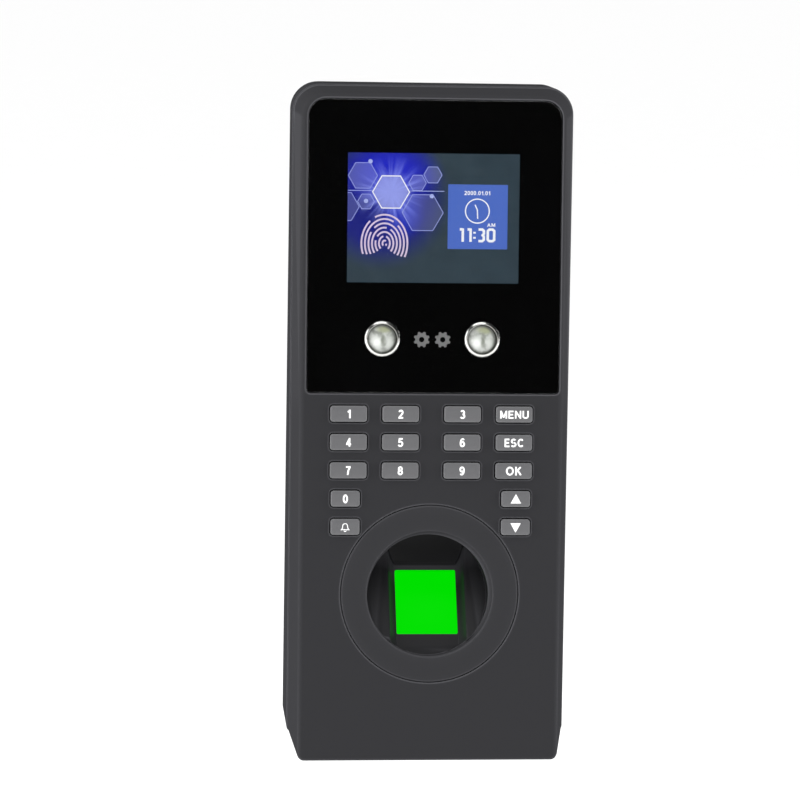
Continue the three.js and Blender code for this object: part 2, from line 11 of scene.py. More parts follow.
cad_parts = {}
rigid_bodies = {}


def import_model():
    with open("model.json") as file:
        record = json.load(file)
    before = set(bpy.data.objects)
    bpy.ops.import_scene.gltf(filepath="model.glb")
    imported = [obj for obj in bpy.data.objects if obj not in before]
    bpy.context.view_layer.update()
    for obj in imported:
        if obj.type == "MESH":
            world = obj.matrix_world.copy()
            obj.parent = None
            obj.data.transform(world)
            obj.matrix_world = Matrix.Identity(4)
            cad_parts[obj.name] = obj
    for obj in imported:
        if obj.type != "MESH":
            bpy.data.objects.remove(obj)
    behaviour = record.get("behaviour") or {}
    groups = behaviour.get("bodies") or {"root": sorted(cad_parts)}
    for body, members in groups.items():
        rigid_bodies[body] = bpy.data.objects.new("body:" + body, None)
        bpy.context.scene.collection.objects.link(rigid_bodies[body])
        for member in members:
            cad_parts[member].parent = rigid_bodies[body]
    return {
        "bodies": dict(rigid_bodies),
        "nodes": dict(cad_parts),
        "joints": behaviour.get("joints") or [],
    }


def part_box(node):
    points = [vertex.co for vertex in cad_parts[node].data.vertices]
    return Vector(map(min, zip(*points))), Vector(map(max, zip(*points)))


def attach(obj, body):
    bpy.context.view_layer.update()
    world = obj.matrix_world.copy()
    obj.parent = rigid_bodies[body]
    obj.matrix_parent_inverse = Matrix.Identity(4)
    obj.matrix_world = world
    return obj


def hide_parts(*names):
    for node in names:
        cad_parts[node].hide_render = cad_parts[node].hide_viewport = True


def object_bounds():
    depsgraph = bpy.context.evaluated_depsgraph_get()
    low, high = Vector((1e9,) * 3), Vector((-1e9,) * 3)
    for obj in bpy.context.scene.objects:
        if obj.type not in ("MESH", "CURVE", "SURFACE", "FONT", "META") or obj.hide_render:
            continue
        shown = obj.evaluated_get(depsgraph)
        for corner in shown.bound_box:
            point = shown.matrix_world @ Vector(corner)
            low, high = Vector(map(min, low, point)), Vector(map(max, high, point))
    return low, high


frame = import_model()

bl_info = {
    "name": "Fingerprint terminal",
    "version": (1, 0, 0),
    "blender": (4, 5, 0),
    "location": "View3D > Sidebar > Terminal",
    "description": "Builds the shells, display, keypad and finger well of a fingerprint terminal",
    "category": "Object",
}

CAD_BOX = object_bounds()
MM = 0.001
BODY = "terminal"
KEY_NAMES = [body for body in frame["bodies"] if body.startswith("key_")]
SCREW_NAMES = [node for node in frame["nodes"] if node.startswith("case_screw_")]
SIDES = ("left", "right")


# ------------------------------------------------------------------ places, read from the frame
def vertices(node):
    """A CAD node's vertices in the row frame."""
    return [v.co.copy() for v in frame["nodes"][node].data.vertices]


def face_frame():
    """x to the right, y up the face, z out of it, with z = 0 on the face."""
    press = next(Vector(j["axis"]) for j in frame["joints"] if j["child"] in KEY_NAMES)
    out = -press.normalized()
    across = Vector((1, 0, 0))
    level = max(out.dot(point) for point in vertices("front_shell"))
    return axes(across, out.cross(across), out, out * level)


def axes(x, y, z, origin):
    """The matrix of a frame with these axes and this origin."""
    matrix = Matrix((x, y, z)).transposed().to_4x4()
    matrix.translation = origin
    return matrix


def reach(node, place):
    """A CAD node's lowest and highest corner in another frame."""
    back = place.inverted()
    points = [back @ point for point in vertices(node)]
    low = Vector([min(p[i] for p in points) for i in range(3)])
    high = Vector([max(p[i] for p in points) for i in range(3)])
    return low, high


def sensor_frame():
    """x to the right, y up the sensor glass, z out of it, with the origin in the middle of the glass."""
    mesh = frame["nodes"]["sensor_window"].data
    lit = [polygon for polygon in mesh.polygons if polygon.normal.dot(FACE.col[2].xyz) > 0.5]
    out = max(lit, key=lambda polygon: polygon.area).normal.normalized()
    across = Vector((1, 0, 0))
    level = max(out.dot(point) for point in vertices("sensor_window"))
    low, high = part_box("sensor_window")
    middle = (low + high) / 2
    return axes(across, out.cross(across), out, middle + out * (level - out.dot(middle)))


FACE = face_frame()
SENSOR = sensor_frame()
ROW = Matrix.Identity(4)
# x to the right, y up, z out of the wall
WALL = axes(Vector((1, 0, 0)), Vector((0, 0, 1)), Vector((0, -1, 0)), Vector())


def middle_of(node, place):
    """The middle of a CAD node in another frame."""
    low, high = reach(node, place)
    return (low + high) / 2


def seam_plane():
    """Depth of the joint between the shells at the rear shell's foot, and how fast it falls going up."""
    points = [WALL.inverted() @ point for point in vertices("rear_shell")]
    foot = min(p.y for p in points)
    head = max(p.y for p in points)
    low_depth = max(p.z for p in points if p.y < foot + MM)
    high_depth = max(p.z for p in points if p.y > head - MM)
    return foot, low_depth, (low_depth - high_depth) / (head - foot)


SEAM_FOOT, SEAM_DEPTH, SEAM_SLOPE = seam_plane()


def seam_depth(height):
    """Distance from the wall to the rear shell's front edge at that height."""
    return SEAM_DEPTH - SEAM_SLOPE * (height - SEAM_FOOT)


def shade(code):
    """A linear colour from a six-digit screen colour."""
    parts = [int(code[i : i + 2], 16) / 255 for i in (0, 2, 4)]
    return tuple(c / 12.92 if c <= 0.04045 else ((c + 0.055) / 1.055) ** 2.4 for c in parts)


# ------------------------------------------------------------------ sizes and colours
def length(name, description, millimetres):
    return FloatProperty(
        name=name, description=description, default=millimetres * MM, min=0, unit="LENGTH", precision=5
    )


def colour(name, description, code):
    return FloatVectorProperty(
        name=name, description=description, default=shade(code), min=0, max=1, subtype="COLOR"
    )


def turn_angle(name, description, degrees):
    return FloatProperty(name=name, description=description, default=math.radians(degrees), subtype="ANGLE")


class ShellSizes(bpy.types.PropertyGroup):
    """Sizes and colour of the two shells."""

    low_radius: length("Foot corners", "Corner radius at the foot of the shells", 1.4)
    foot_drop: length("Foot drop", "How far the foot of the shells reaches below the CAD's", 0.8)
    high_radius: length("Head corners", "Corner radius at the head of the shells", 8.0)
    face_low_radius: length("Face foot corners", "Corner radius at the foot of the face", 1.9)
    face_high_radius: length("Face head corners", "Corner radius at the head of the face", 6.3)
    face_drop: length("Face drop", "How far the foot of the face reaches below the CAD's", 0.42)
    face_round: length("Face edge", "How far the rounding of the face's edge reaches", 1.1)
    back_round: length("Rear edge", "Rounding of the rear edge", 1.0)
    seam_break: length("Seam edge", "Small rounding on both sides of the seam", 0.25)
    seam_gap: length("Seam", "Gap between the two shells", 0.4)
    step: length("Step at the seam", "How far the rear shell stands proud of the front one", 0.3)
    wall: length("Wall", "Wall thickness of the front shell", 2.4)
    rear_floor: length("Rear floor", "Thickness of the rear shell's floor", 3.8)
    hole_round: length("Hole edges", "Rounding of the edges of holes in the face", 0.16)
    colour: colour("Plastic", "Charcoal plastic of the shells", "2e2e30")


class DisplaySizes(bpy.types.PropertyGroup):
    """Sizes and colours of the window, the display and the lamps."""

    corner: length("Window corners", "Radius of the window's upper corners", 4.9)
    foot_corner: length("Window foot corners", "Radius of the window's lower corners", 1.0)
    clear: length("Clear layer", "Thickness of the clear plate over the print", 0.65)
    edge: length("Window edge", "Rounding of the window's edge", 0.18)
    left_shift: length("Left shift", "How far the window's left edge sits inside the CAD's", 0.35)
    right_shift: length("Right shift", "How far the window's right edge reaches past the CAD's", 0.4)
    top_shift: length("Top shift", "How far the window's top edge reaches past the CAD's", 0.45)
    lit_width: length("Lit width", "Width of the display's lit area", 48.96)
    lit_height: length("Lit height", "Height of the display's lit area", 36.72)
    lamp_hole: length("Lamp holes", "Radius of the window's lamp holes", 5.05)
    mark: length("Camera marks", "Outer radius of the toothed marks round the cameras", 2.3)
    mark_drop: length("Mark drop", "How far the marks sit below the cameras' middles", 0.15)
    glow: colour("Glow", "Bright middle of the display's glow", "8f9cff")
    blue: colour("Blue", "Blue round the glow", "1a22c0")
    slate: colour("Slate", "Dark side of the display", "34454f")
    card: colour("Clock card", "The clock's card", "4b6cc6")


class KeypadSizes(bpy.types.PropertyGroup):
    """Sizes and colours of the keys."""

    flange: length("Flange", "How far a key's flange reaches past its cap", 0.8)
    corner: length("Corners", "Corner radius of a cap", 0.85)
    round: length("Edge", "Rounding of a cap's upper edge", 0.42)
    crown: length("Crown", "How far the middle of a cap stands above its edge", 0.08)
    inset: length("Inset", "How far a cap stays inside its part's outline", 0.1)
    clearance: length("Clearance", "Gap round each cap in the shell", 0.28)
    digit: length("Digit height", "Height of the digits", 2.55)
    print_depth: length("Print", "Thickness of the printed legends", 0.02)
    colour: colour("Caps", "Grey plastic of the caps", "58585a")
    legend: colour("Legends", "Printed legends", "f6f6f6")


class WellSizes(bpy.types.PropertyGroup):
    """Sizes and colours of the finger well."""

    mouth: length("Mouth", "Radius of the mouth", 18.0)
    bore: length("Bore", "Radius of the well below the mouth", 17.4)
    lean: FloatVectorProperty(
        name="Lean", description="How far the bore's middle lies from the mouth's", size=2,
        subtype="TRANSLATION", default=(-0.35 * MM, -0.45 * MM),
    )
    lip: length("Lip", "How far the ring's lip rises above the face", 0.55)
    flat: length("Flat", "How far the flat floor reaches past the glass", 0.15)
    curve: length("Curve", "Radius of the trough's sides beside the glass", 6.0)
    shoulder: length("Shoulder", "How far the shoulders rise towards the bore", 1.0)
    deep_end: length("Deep end", "Depth of the well's flat end below the face", 16.0)
    colour: colour("Well", "Plastic of the well", "202022")
    ring_colour: colour("Ring", "Plastic of the ring", "303032")
    light: colour("Sensor light", "Light of the sensor glass", "00e200")


class StageSizes(bpy.types.PropertyGroup):
    """The floor, the lights and the camera."""

    drop: length("Floor drop", "How far below the terminal the floor lies", 160)
    aim: FloatVectorProperty(
        name="Aim", description="Point that the camera looks at", subtype="TRANSLATION",
        default=(-5.4 * MM, 15 * MM, -54 * MM),
    )
    azimuth: turn_angle("Azimuth", "Camera's angle round", -4.953)
    elevation: turn_angle("Elevation", "Camera's angle up", 8.799)
    roll: turn_angle("Roll", "Camera's tilt about its own axis", 1.06)
    distance: length("Distance", "Camera's distance from the point it looks at", 900.1)
    lens: FloatProperty(name="Lens", description="Focal length in millimetres", default=135.69, min=10)


# ------------------------------------------------------------------ shapes
def outline(low, high, low_radius, high_radius, grow=0.0, steps=8):
    """Points anticlockwise round a rectangle with rounded corners, grown outwards."""
    corners = (
        (high[0], low[1], low_radius, 270),
        (high[0], high[1], high_radius, 0),
        (low[0], high[1], high_radius, 90),
        (low[0], low[1], low_radius, 180),
    )
    centre = (Vector(low[:2]) + Vector(high[:2])) / 2
    points = []
    for x, y, radius, start in corners:
        turn = Vector((math.copysign(1, x - centre.x), math.copysign(1, y - centre.y)))
        middle = Vector((x, y)) - turn * radius
        grown = max(radius + grow, 0.01 * MM)
        shift = turn * (radius + grow - grown)
        for i in range(steps + 1):
            angle = math.radians(start + 90 * i / steps)
            points.append(middle + shift + Vector((math.cos(angle), math.sin(angle))) * grown)
    return points


def circle(centre, radius, steps=48):
    """Points anticlockwise round a circle, starting at the right."""
    turns = [2 * math.pi * i / steps for i in range(steps)]
    return [Vector((centre[0] + radius * math.cos(t), centre[1] + radius * math.sin(t))) for t in turns]


def lift(points, z):
    """Flat points as points at one height."""
    return [Vector((p.x, p.y, z)) for p in points]


def quarter(steps):
    """Angles from 0 to 90 degrees."""
    return [math.pi / 2 * i / steps for i in range(steps + 1)]


def round_corner(before, corner, after, steps=6):
    """Points on a curve from before to after, pulled towards the corner."""
    made = []
    for i in range(steps + 1):
        t = i / steps
        made.append(before * (1 - t) ** 2 + corner * 2 * t * (1 - t) + after * t**2)
    return made


def skin(rings, place=ROW, closed=False):
    """A mesh through rings with equally many points, capped at both ends or joined end to end."""
    bm = bmesh.new()
    rows = [[bm.verts.new(place @ point) for point in ring] for ring in rings]
    pairs = list(zip(rows, rows[1:]))
    if closed:
        pairs.append((rows[-1], rows[0]))
    else:
        bm.faces.new(reversed(rows[0]))
        bm.faces.new(rows[-1])
    for lower, upper in pairs:
        for i, corner in enumerate(lower):
            j = (i + 1) % len(lower)
            bm.faces.new((corner, lower[j], upper[j], upper[i]))
    bmesh.ops.recalc_face_normals(bm, faces=bm.faces)
    mesh = bpy.data.meshes.new("skin")
    bm.to_mesh(mesh)
    bm.free()
    return mesh


def turned(profile, centre=(0, 0), place=ROW, steps=96, closed=True):
    """A mesh turned about z from (radius, height) pairs."""
    rings = [lift(circle(centre, radius, steps), height) for radius, height in profile]
    return skin(rings, place, closed)


def prism(points, low, high, place=ROW):
    """A straight-sided mesh from flat points."""
    return skin([lift(points, low), lift(points, high)], place)


def flared(shape, depth, flare, place, top=0.0, steps=4):
    """A cutter whose hole widens in a rounding towards the surface; shape(grow) gives its outline."""
    rings = [lift(shape(0), top - depth)]
    for angle in quarter(steps):
        rings.append(lift(shape(flare * (1 - math.cos(angle))), top - flare + flare * math.sin(angle)))
    rings.append(lift(shape(flare), top + MM))
    return skin(rings, place)


def plate(shape, low, high, edge, place, steps=3, both=True):
    """A flat plate with rounded edges; shape(grow) gives its outline."""
    turns = quarter(steps)
    rows = [(shape(edge * (math.cos(a) - 1)), edge * (1 - math.sin(a))) for a in turns]
    over = [lift(points, high - fall) for points, fall in rows]
    if both:
        under = [lift(points, low + rise) for points, rise in reversed(rows)]
    else:
        under = [lift(shape(0), low)]
    return skin(under + over, place)


def stroke(points, width, thick, place, closed=True):
    """A flat line of even width along flat points."""
    count = len(points)
    rings = []
    for i, point in enumerate(points):
        before = points[i - 1] if closed or i else point
        after = points[(i + 1) % count] if closed or i + 1 < count else point
        one = (point - before).normalized() if before != point else (after - point).normalized()
        two = (after - point).normalized() if after != point else one
        along = (one + two).normalized()
        side = Vector((-along.y, along.x)) * width / 2 / max(along.dot(one), 0.3)
        inner = point - side
        outer = point + side
        rings.append([
            Vector((inner.x, inner.y, 0)), Vector((outer.x, outer.y, 0)),
            Vector((outer.x, outer.y, thick)), Vector((inner.x, inner.y, thick)),
        ])
    return skin(rings, place, closed)


def arc(centre, radius, start, end, steps=16):
    """Points along an arc, with its angles in degrees."""
    turns = [math.radians(start + (end - start) * i / steps) for i in range(steps + 1)]
    return [Vector((centre[0] + radius * math.cos(t), centre[1] + radius * math.sin(t))) for t in turns]


def joined(*meshes):
    """Several meshes as one."""
    bm = bmesh.new()
    for mesh in meshes:
        bm.from_mesh(mesh)
        bpy.data.meshes.remove(mesh)
    mesh = bpy.data.meshes.new("joined")
    bm.to_mesh(mesh)
    bm.free()
    return mesh


def link(name, data):
    """A new object in the scene."""
    obj = bpy.data.objects.new(name, data)
    bpy.context.scene.collection.objects.link(obj)
    return obj


def applied(obj):
    """An object's mesh with its modifiers applied."""
    graph = bpy.context.evaluated_depsgraph_get()
    return bpy.data.meshes.new_from_object(obj.evaluated_get(graph))


def combine(mesh, *steps):
    """A mesh after these (operation, mesh) steps."""
    work = link("work", mesh)
    for operation, other in steps:
        tool = link("tool", other)
        modifier = work.modifiers.new("combine", "BOOLEAN")
        modifier.operation = operation
        modifier.solver = "MANIFOLD"
        modifier.object = tool
        result = applied(work)
        work.modifiers.clear()
        work.data = result
        bpy.data.objects.remove(tool)
    result = work.data
    bpy.data.objects.remove(work)
    return result


def divided(mesh, place, across=(), up=()):
    """A mesh with its faces cut along lines of constant x and y in a frame."""
    bm = bmesh.new()
    bm.from_mesh(mesh)
    for axis, values in ((0, across), (1, up)):
        normal = place.col[axis].xyz
        for value in values:
            point = place.translation + normal * value
            parts = bm.verts[:] + bm.edges[:] + bm.faces[:]
            bmesh.ops.bisect_plane(bm, geom=parts, plane_co=point, plane_no=normal, dist=0.001 * MM)
    bm.to_mesh(mesh)
    bm.free()
    return mesh


def tidy(mesh):
    """Removes doubled points and slivers that combining leaves."""
    bm = bmesh.new()
    bm.from_mesh(mesh)
    bmesh.ops.remove_doubles(bm, verts=bm.verts, dist=0.002 * MM)
    bmesh.ops.dissolve_degenerate(bm, edges=bm.edges, dist=0.002 * MM)
    bm.to_mesh(mesh)
    bm.free()
    return mesh


def piece(name, mesh, material, body=BODY, replaces=(), sharp=35, weighted=False):
    """A finished object: smooth but for its sharp edges, with its finish, riding on a body."""
    obj = link(name, mesh)
    mesh.name = name
    mesh.shade_smooth()
    mesh.set_sharp_from_angle(angle=math.radians(sharp))
    mesh.materials.clear()
    mesh.materials.append(material)
    for polygon in mesh.polygons:
        polygon.material_index = 0
    if weighted:
        modifier = obj.modifiers.new("even shading", "WEIGHTED_NORMAL")
        modifier.keep_sharp = True
    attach(obj, body)
    if replaces:
        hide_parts(*replaces)
    return obj


def keep(node, material, edge=0.0):
    """A CAD node that stays, with a finish and softened edges."""
    obj = frame["nodes"][node]
    obj.data.materials.clear()
    obj.data.materials.append(material)
    if edge:
        modifier = obj.modifiers.new("softened edges", "BEVEL")
        modifier.width = edge
        modifier.segments = 2
        modifier.limit_method = "ANGLE"
        modifier.angle_limit = math.radians(40)
        modifier.harden_normals = True
    return obj


# ------------------------------------------------------------------ shader nodes
def node(tree, kind, settings=None, **inputs):
    """A shader node with its settings and input values."""
    made = tree.nodes.new(kind)
    for key, value in (settings or {}).items():
        setattr(made, key, value)
    for key, value in inputs.items():
        made.inputs[key.replace("_", " ")].default_value = value
    return made


def wire(tree, source, output, target, socket):
    tree.links.new(source.outputs[output], target.inputs[socket])


def maths(tree, operation, first, second=None, clamp=False):
    """A Math node; each operand is a number or a (node, output) pair."""
    made = node(tree, "ShaderNodeMath", {"operation": operation, "use_clamp": clamp})
    for i, value in enumerate((first, second)):
        if isinstance(value, tuple):
            wire(tree, *value, made, i)
        elif value is not None:
            made.inputs[i].default_value = value
    return made, "Value"


def blend_colours(tree, factor, first, second):
    """A colour between two, each given as a colour or as a (node, output) pair."""
    made = node(tree, "ShaderNodeMix", {"data_type": "RGBA"})
    wire(tree, *factor, made, "Factor")
    for socket, value in ((made.inputs[6], first), (made.inputs[7], second)):
        if isinstance(value[0], (int, float)):
            socket.default_value = (*value[:3], 1)
        else:
            tree.links.new(value[0].outputs[value[1]], socket)
    return made, 2


def group(name, inputs, outputs):
    """An empty node group. Returns its tree, its input node and its output node."""
    tree = bpy.data.node_groups.new(name, "ShaderNodeTree")
    for label, value in inputs.items():
        socket = tree.interface.new_socket(label, in_out="INPUT", socket_type="NodeSocketFloat")
        socket.default_value = value
    for label in outputs:
        tree.interface.new_socket(label, in_out="OUTPUT", socket_type="NodeSocketFloat")
    return tree, tree.nodes.new("NodeGroupInput"), tree.nodes.new("NodeGroupOutput")


def grain_group():
    """The fine pitted grain of a spark-eroded mould."""
    tree, start, end = group("Moulded grain", {"Scale": 5200.0}, ("Height", "Tone"))
    place = node(tree, "ShaderNodeTexCoord")
    noise = node(tree, "ShaderNodeTexNoise", Detail=3.0, Roughness=0.6)
    pits = node(tree, "ShaderNodeTexVoronoi", {"feature": "SMOOTH_F1"}, Smoothness=0.6)
    for texture in (noise, pits):
        wire(tree, place, "Object", texture, "Vector")
        wire(tree, start, "Scale", texture, "Scale")
    height = maths(tree, "ADD", (noise, "Fac"), maths(tree, "MULTIPLY", (pits, "Distance"), 0.7))
    wire(tree, *height, end, "Height")
    wire(tree, noise, "Fac", end, "Tone")
    return tree


def edge_group():
    """A mask of the edges, where handling polishes a surface and a painted highlight lightens it."""
    tree, start, end = group("Edge polish and painted highlight", {"Radius": 0.0004, "Gain": 6.0}, ("Mask",))
    bevel = node(tree, "ShaderNodeBevel", {"samples": 6})
    wire(tree, start, "Radius", bevel, "Radius")
    surface = node(tree, "ShaderNodeNewGeometry")
    turn = node(tree, "ShaderNodeVectorMath", {"operation": "DOT_PRODUCT"})
    wire(tree, bevel, "Normal", turn, 0)
    wire(tree, surface, "True Normal", turn, 1)
    away = maths(tree, "SUBTRACT", 1.0, (turn, "Value"))
    mask = maths(tree, "MULTIPLY", away, (start, "Gain"), clamp=True)
    wire(tree, *mask, end, "Mask")
    return tree


def handling_group():
    """Broad, faint smears left by hands."""
    tree, start, end = group("Handling", {"Scale": 45.0}, ("Smear",))
    place = node(tree, "ShaderNodeTexCoord")
    broad = node(tree, "ShaderNodeTexNoise", Detail=4.0, Roughness=0.55, Distortion=0.8)
    wire(tree, place, "Object", broad, "Vector")
    wire(tree, start, "Scale", broad, "Scale")
    levels = node(tree, "ShaderNodeMapRange", From_Min=0.35, From_Max=0.7)
    wire(tree, broad, "Fac", levels, "Value")
    wire(tree, levels, "Result", end, "Smear")
    return tree


def brushing_group():
    """Fine parallel rolling marks along x."""
    tree, start, end = group("Rolling marks", {"Scale": 900.0}, ("Streak",))
    place = node(tree, "ShaderNodeTexCoord")
    stretch = node(tree, "ShaderNodeMapping")
    stretch.inputs["Scale"].default_value = (0.02, 1, 1)
    wire(tree, place, "Object", stretch, "Vector")
    noise = node(tree, "ShaderNodeTexNoise", Detail=5.0, Roughness=0.65)
    wire(tree, stretch, "Vector", noise, "Vector")
    wire(tree, start, "Scale", noise, "Scale")
    wire(tree, noise, "Fac", end, "Streak")
    return tree


GROUPS = {}


def effect(tree, name, **inputs):
    """One of the shared groups, placed in a material with its own values."""
    return node(tree, "ShaderNodeGroup", {"node_tree": GROUPS[name]}, **inputs)


def finish(name, base, roughness, **sockets):
    """A new material. Returns it, its node tree and its shader."""
    material = bpy.data.materials.new(name)
    material.use_nodes = True
    tree = material.node_tree
    shader = tree.nodes["Principled BSDF"]
    shader.inputs["Base Color"].default_value = (*base, 1)
    shader.inputs["Roughness"].default_value = roughness
    for key, value in sockets.items():
        shader.inputs[key.replace("_", " ")].default_value = value
    return material, tree, shader


def relief(tree, shader, height, depth, strength=1.0):
    """A bump on the shader's normal."""
    bump = node(tree, "ShaderNodeBump", Strength=strength, Distance=depth)
    wire(tree, *height, bump, "Height")
    wire(tree, bump, "Normal", shader, "Normal")


def spread(tree, source, low, high):
    """A 0 to 1 value spread over another range."""
    made = node(tree, "ShaderNodeMapRange", To_Min=low, To_Max=high)
    wire(tree, *source, made, "Value")
    return made, "Result"


def moulded(name, base, roughness, grain=5200.0, depth=0.012, edge_highlight=1.5, radius=0.4, gain=5.0, **sockets):
    """Moulded plastic: grain, a little tone in it, polished edges lightened by a painted highlight, and
    faint smears.
    """
    material, tree, shader = finish(name, base, roughness, **sockets)
    texture = effect(tree, "grain", Scale=grain)
    edges = effect(tree, "edges", Radius=radius * MM, Gain=gain)
    smears = effect(tree, "handling")
    dark = [c * 0.92 for c in base]
    light = [min(c * 1.08, 1) for c in base]
    toned = blend_colours(tree, (texture, "Tone"), dark, light)
    # painted highlight: the edges' colour is lightened where light would catch them
    worn_and_highlit = blend_colours(tree, (edges, "Mask"), toned, [min(c * edge_highlight, 1) for c in base])
    wire(tree, *worn_and_highlit, shader, "Base Color")
    rough = spread(tree, (smears, "Smear"), roughness, roughness - 0.06)
    polished = maths(tree, "SUBTRACT", rough, maths(tree, "MULTIPLY", (edges, "Mask"), 0.12))
    wire(tree, *polished, shader, "Roughness")
    relief(tree, shader, (texture, "Height"), depth * MM)
    return material


def well_finish(base):
    """Satin plastic with painted light and shade: lighter with depth by painted light, down to a floor
    darkened by painted shade at the deep end, with a painted highlight on its edges; its box runs inwards
    along Y.
    """
    material, tree, shader = finish("well_plastic", base, 0.44, Specular_IOR_Level=0.18)
    texture = effect(tree, "grain")
    edges = effect(tree, "edges", Radius=0.3 * MM, Gain=5.0)
    box = node(tree, "ShaderNodeTexCoord")
    parts = node(tree, "ShaderNodeSeparateXYZ")
    wire(tree, box, "Generated", parts, "Vector")
    # painted light: a band deeper in the well made lighter
    painted_light_band = node(tree, "ShaderNodeMapRange", From_Min=0.6, From_Max=0.75)
    wire(tree, parts, "Y", painted_light_band, "Value")
    # painted shade: the floor at the deep end darkened
    above_shaded_floor = node(tree, "ShaderNodeMapRange", From_Min=0.8, From_Max=0.815, To_Min=1.0, To_Max=0.0)
    wire(tree, parts, "Y", above_shaded_floor, "Value")
    tone = blend_colours(tree, (painted_light_band, "Result"), base, [c * 3.2 for c in base])
    tone = blend_colours(tree, (above_shaded_floor, "Result"), [c * 0.6 for c in base], tone)
    # painted highlight: the edges and the crease lightened
    tone = blend_colours(tree, (edges, "Mask"), tone, [c * 4 for c in base])
    wire(tree, *tone, shader, "Base Color")
    relief(tree, shader, (texture, "Height"), 0.002 * MM)
    return material


def metal(name, base, roughness, marks=900.0, depth=0.004):
    """Sheet or turned metal with rolling marks."""
    material, tree, shader = finish(name, base, roughness, Metallic=1.0)
    texture = effect(tree, "marks", Scale=marks)
    edges = effect(tree, "edges", Radius=0.2 * MM, Gain=4.0)
    toned = blend_colours(tree, (texture, "Streak"), [c * 0.85 for c in base], base)
    # edges lighter: polish wear, with a painted highlight
    worn_and_highlit = blend_colours(tree, (edges, "Mask"), toned, [min(c * 1.3, 1) for c in base])
    wire(tree, *worn_and_highlit, shader, "Base Color")
    rough = spread(tree, (texture, "Streak"), roughness - 0.08, roughness + 0.1)
    wire(tree, *rough, shader, "Roughness")
    relief(tree, shader, (texture, "Streak"), depth * MM)
    return material


def mottled(tree, base):
    """A colour with fine uneven spots."""
    texture = effect(tree, "grain", Scale=3000.0)
    return blend_colours(tree, (texture, "Tone"), [c * 0.93 for c in base], base)


def printed(name, base, roughness=0.5, **sockets):
    """A thin layer of ink, slightly uneven."""
    material, tree, shader = finish(name, base, roughness, **sockets)
    wire(tree, *mottled(tree, base), shader, "Base Color")
    return material


def glowing(name, base, glow):
    """A lit line or field of the display, slightly uneven."""
    material, tree, shader = finish(name, (0, 0, 0), 0.5)
    wire(tree, *mottled(tree, base), shader, "Emission Color")
    shader.inputs["Emission Strength"].default_value = glow
    return material


def clear_finish():
    """Hard-coated clear acrylic."""
    material, tree, shader = finish("window_acrylic", (1, 1, 1), 0.02, IOR=1.49, Transmission_Weight=1.0)
    smears = effect(tree, "handling", Scale=60.0)
    rough = spread(tree, (smears, "Smear"), 0.015, 0.035)
    wire(tree, *rough, shader, "Roughness")
    return material


def blot(tree, place, middle, stretch, inner, outer):
    """A soft spot round a point, in the units of the place that it's given: 1 inside, 0 outside."""
    scaled = node(tree, "ShaderNodeVectorMath", {"operation": "MULTIPLY"})
    wire(tree, *place, scaled, 0)
    scaled.inputs[1].default_value = stretch
    away = node(tree, "ShaderNodeVectorMath", {"operation": "DISTANCE"})
    wire(tree, scaled, "Vector", away, 0)
    away.inputs[1].default_value = [m * k for m, k in zip(middle, stretch)]
    soft = node(
        tree, "ShaderNodeMapRange", {"interpolation_type": "SMOOTHSTEP"},
        From_Min=inner, From_Max=outer, To_Min=1.0, To_Max=0.0,
    )
    wire(tree, away, "Value", soft, "Value")
    return soft, "Result"


# The lens's painted light and shade, and a warm tinge, in the dome's box: middle, stretch, inner and outer
# radius, and colour.
LENS_LIGHT_AND_SHADE = (
    ((0.30, 0, 0.42), (1, 0, 1), (0.03, 0.3), "d3d6d2"),
    ((0.70, 0, 0.40), (1.6, 0, 0.8), (0.03, 0.3), "b2b5b0"),
    ((0.52, 0, 0.47), (2.4, 0, 0.9), (0.04, 0.26), "74786f"),
    ((0.58, 0, 0.82), (0.8, 0, 1.8), (0.05, 0.3), "8f9478"),
)


def lens_finish():
    """A cloudy moulded dome over a bright cup, with painted light and shade: pale at one side in painted
    light, a darker band and a rim darkened by painted shade, and a warm tinge.
    """
    material, tree, shader = finish("lamp_lens", shade("a9aba6"), 0.2, Coat_Weight=1.0, Coat_Roughness=0.06)
    box = node(tree, "ShaderNodeTexCoord")
    cloud = node(tree, "ShaderNodeTexNoise", Scale=420.0, Detail=4.0, Distortion=0.9)
    wire(tree, box, "Object", cloud, "Vector")
    shifted_box = node(tree, "ShaderNodeMix", {"data_type": "VECTOR"})
    shifted_box.inputs["Factor"].default_value = 0.1
    wire(tree, box, "Generated", shifted_box, 4)
    wire(tree, cloud, "Color", shifted_box, 5)
    levels = node(tree, "ShaderNodeMapRange", From_Min=0.38, From_Max=0.62)
    wire(tree, cloud, "Fac", levels, "Value")
    tone = blend_colours(tree, (levels, "Result"), shade("7d807a"), shade("a9aca7"))
    # painted light and shade: pale spots, a darker band, and a warm tinge
    for middle, stretch, (inner, outer), code in LENS_LIGHT_AND_SHADE:
        spot = blot(tree, (shifted_box, 1), middle, stretch, inner, outer)
        tone = blend_colours(tree, spot, tone, shade(code))
    # painted shade: the dome darkened round its rim
    inside = blot(tree, (box, "Generated"), (0.46, 0, 0.48), (1, 0, 1), 0.4, 0.52)
    tone = blend_colours(tree, inside, shade("4b4d49"), tone)
    wire(tree, *tone, shader, "Base Color")
    relief(tree, shader, (cloud, "Fac"), 0.1 * MM, 0.5)
    return material


def sensor_finish(light):
    """Prism glass lit evenly from inside."""
    material, tree, shader = finish("sensor_glass", (0, 0, 0), 0.4, Specular_IOR_Level=0.05)
    place = node(tree, "ShaderNodeTexCoord")
    noise = node(tree, "ShaderNodeTexNoise", Scale=120.0, Detail=2.0)
    wire(tree, place, "Object", noise, "Vector")
    even = blend_colours(tree, (noise, "Fac"), [c * 0.97 for c in light], light)
    wire(tree, *even, shader, "Emission Color")
    shader.inputs["Emission Strength"].default_value = 1.0
    return material


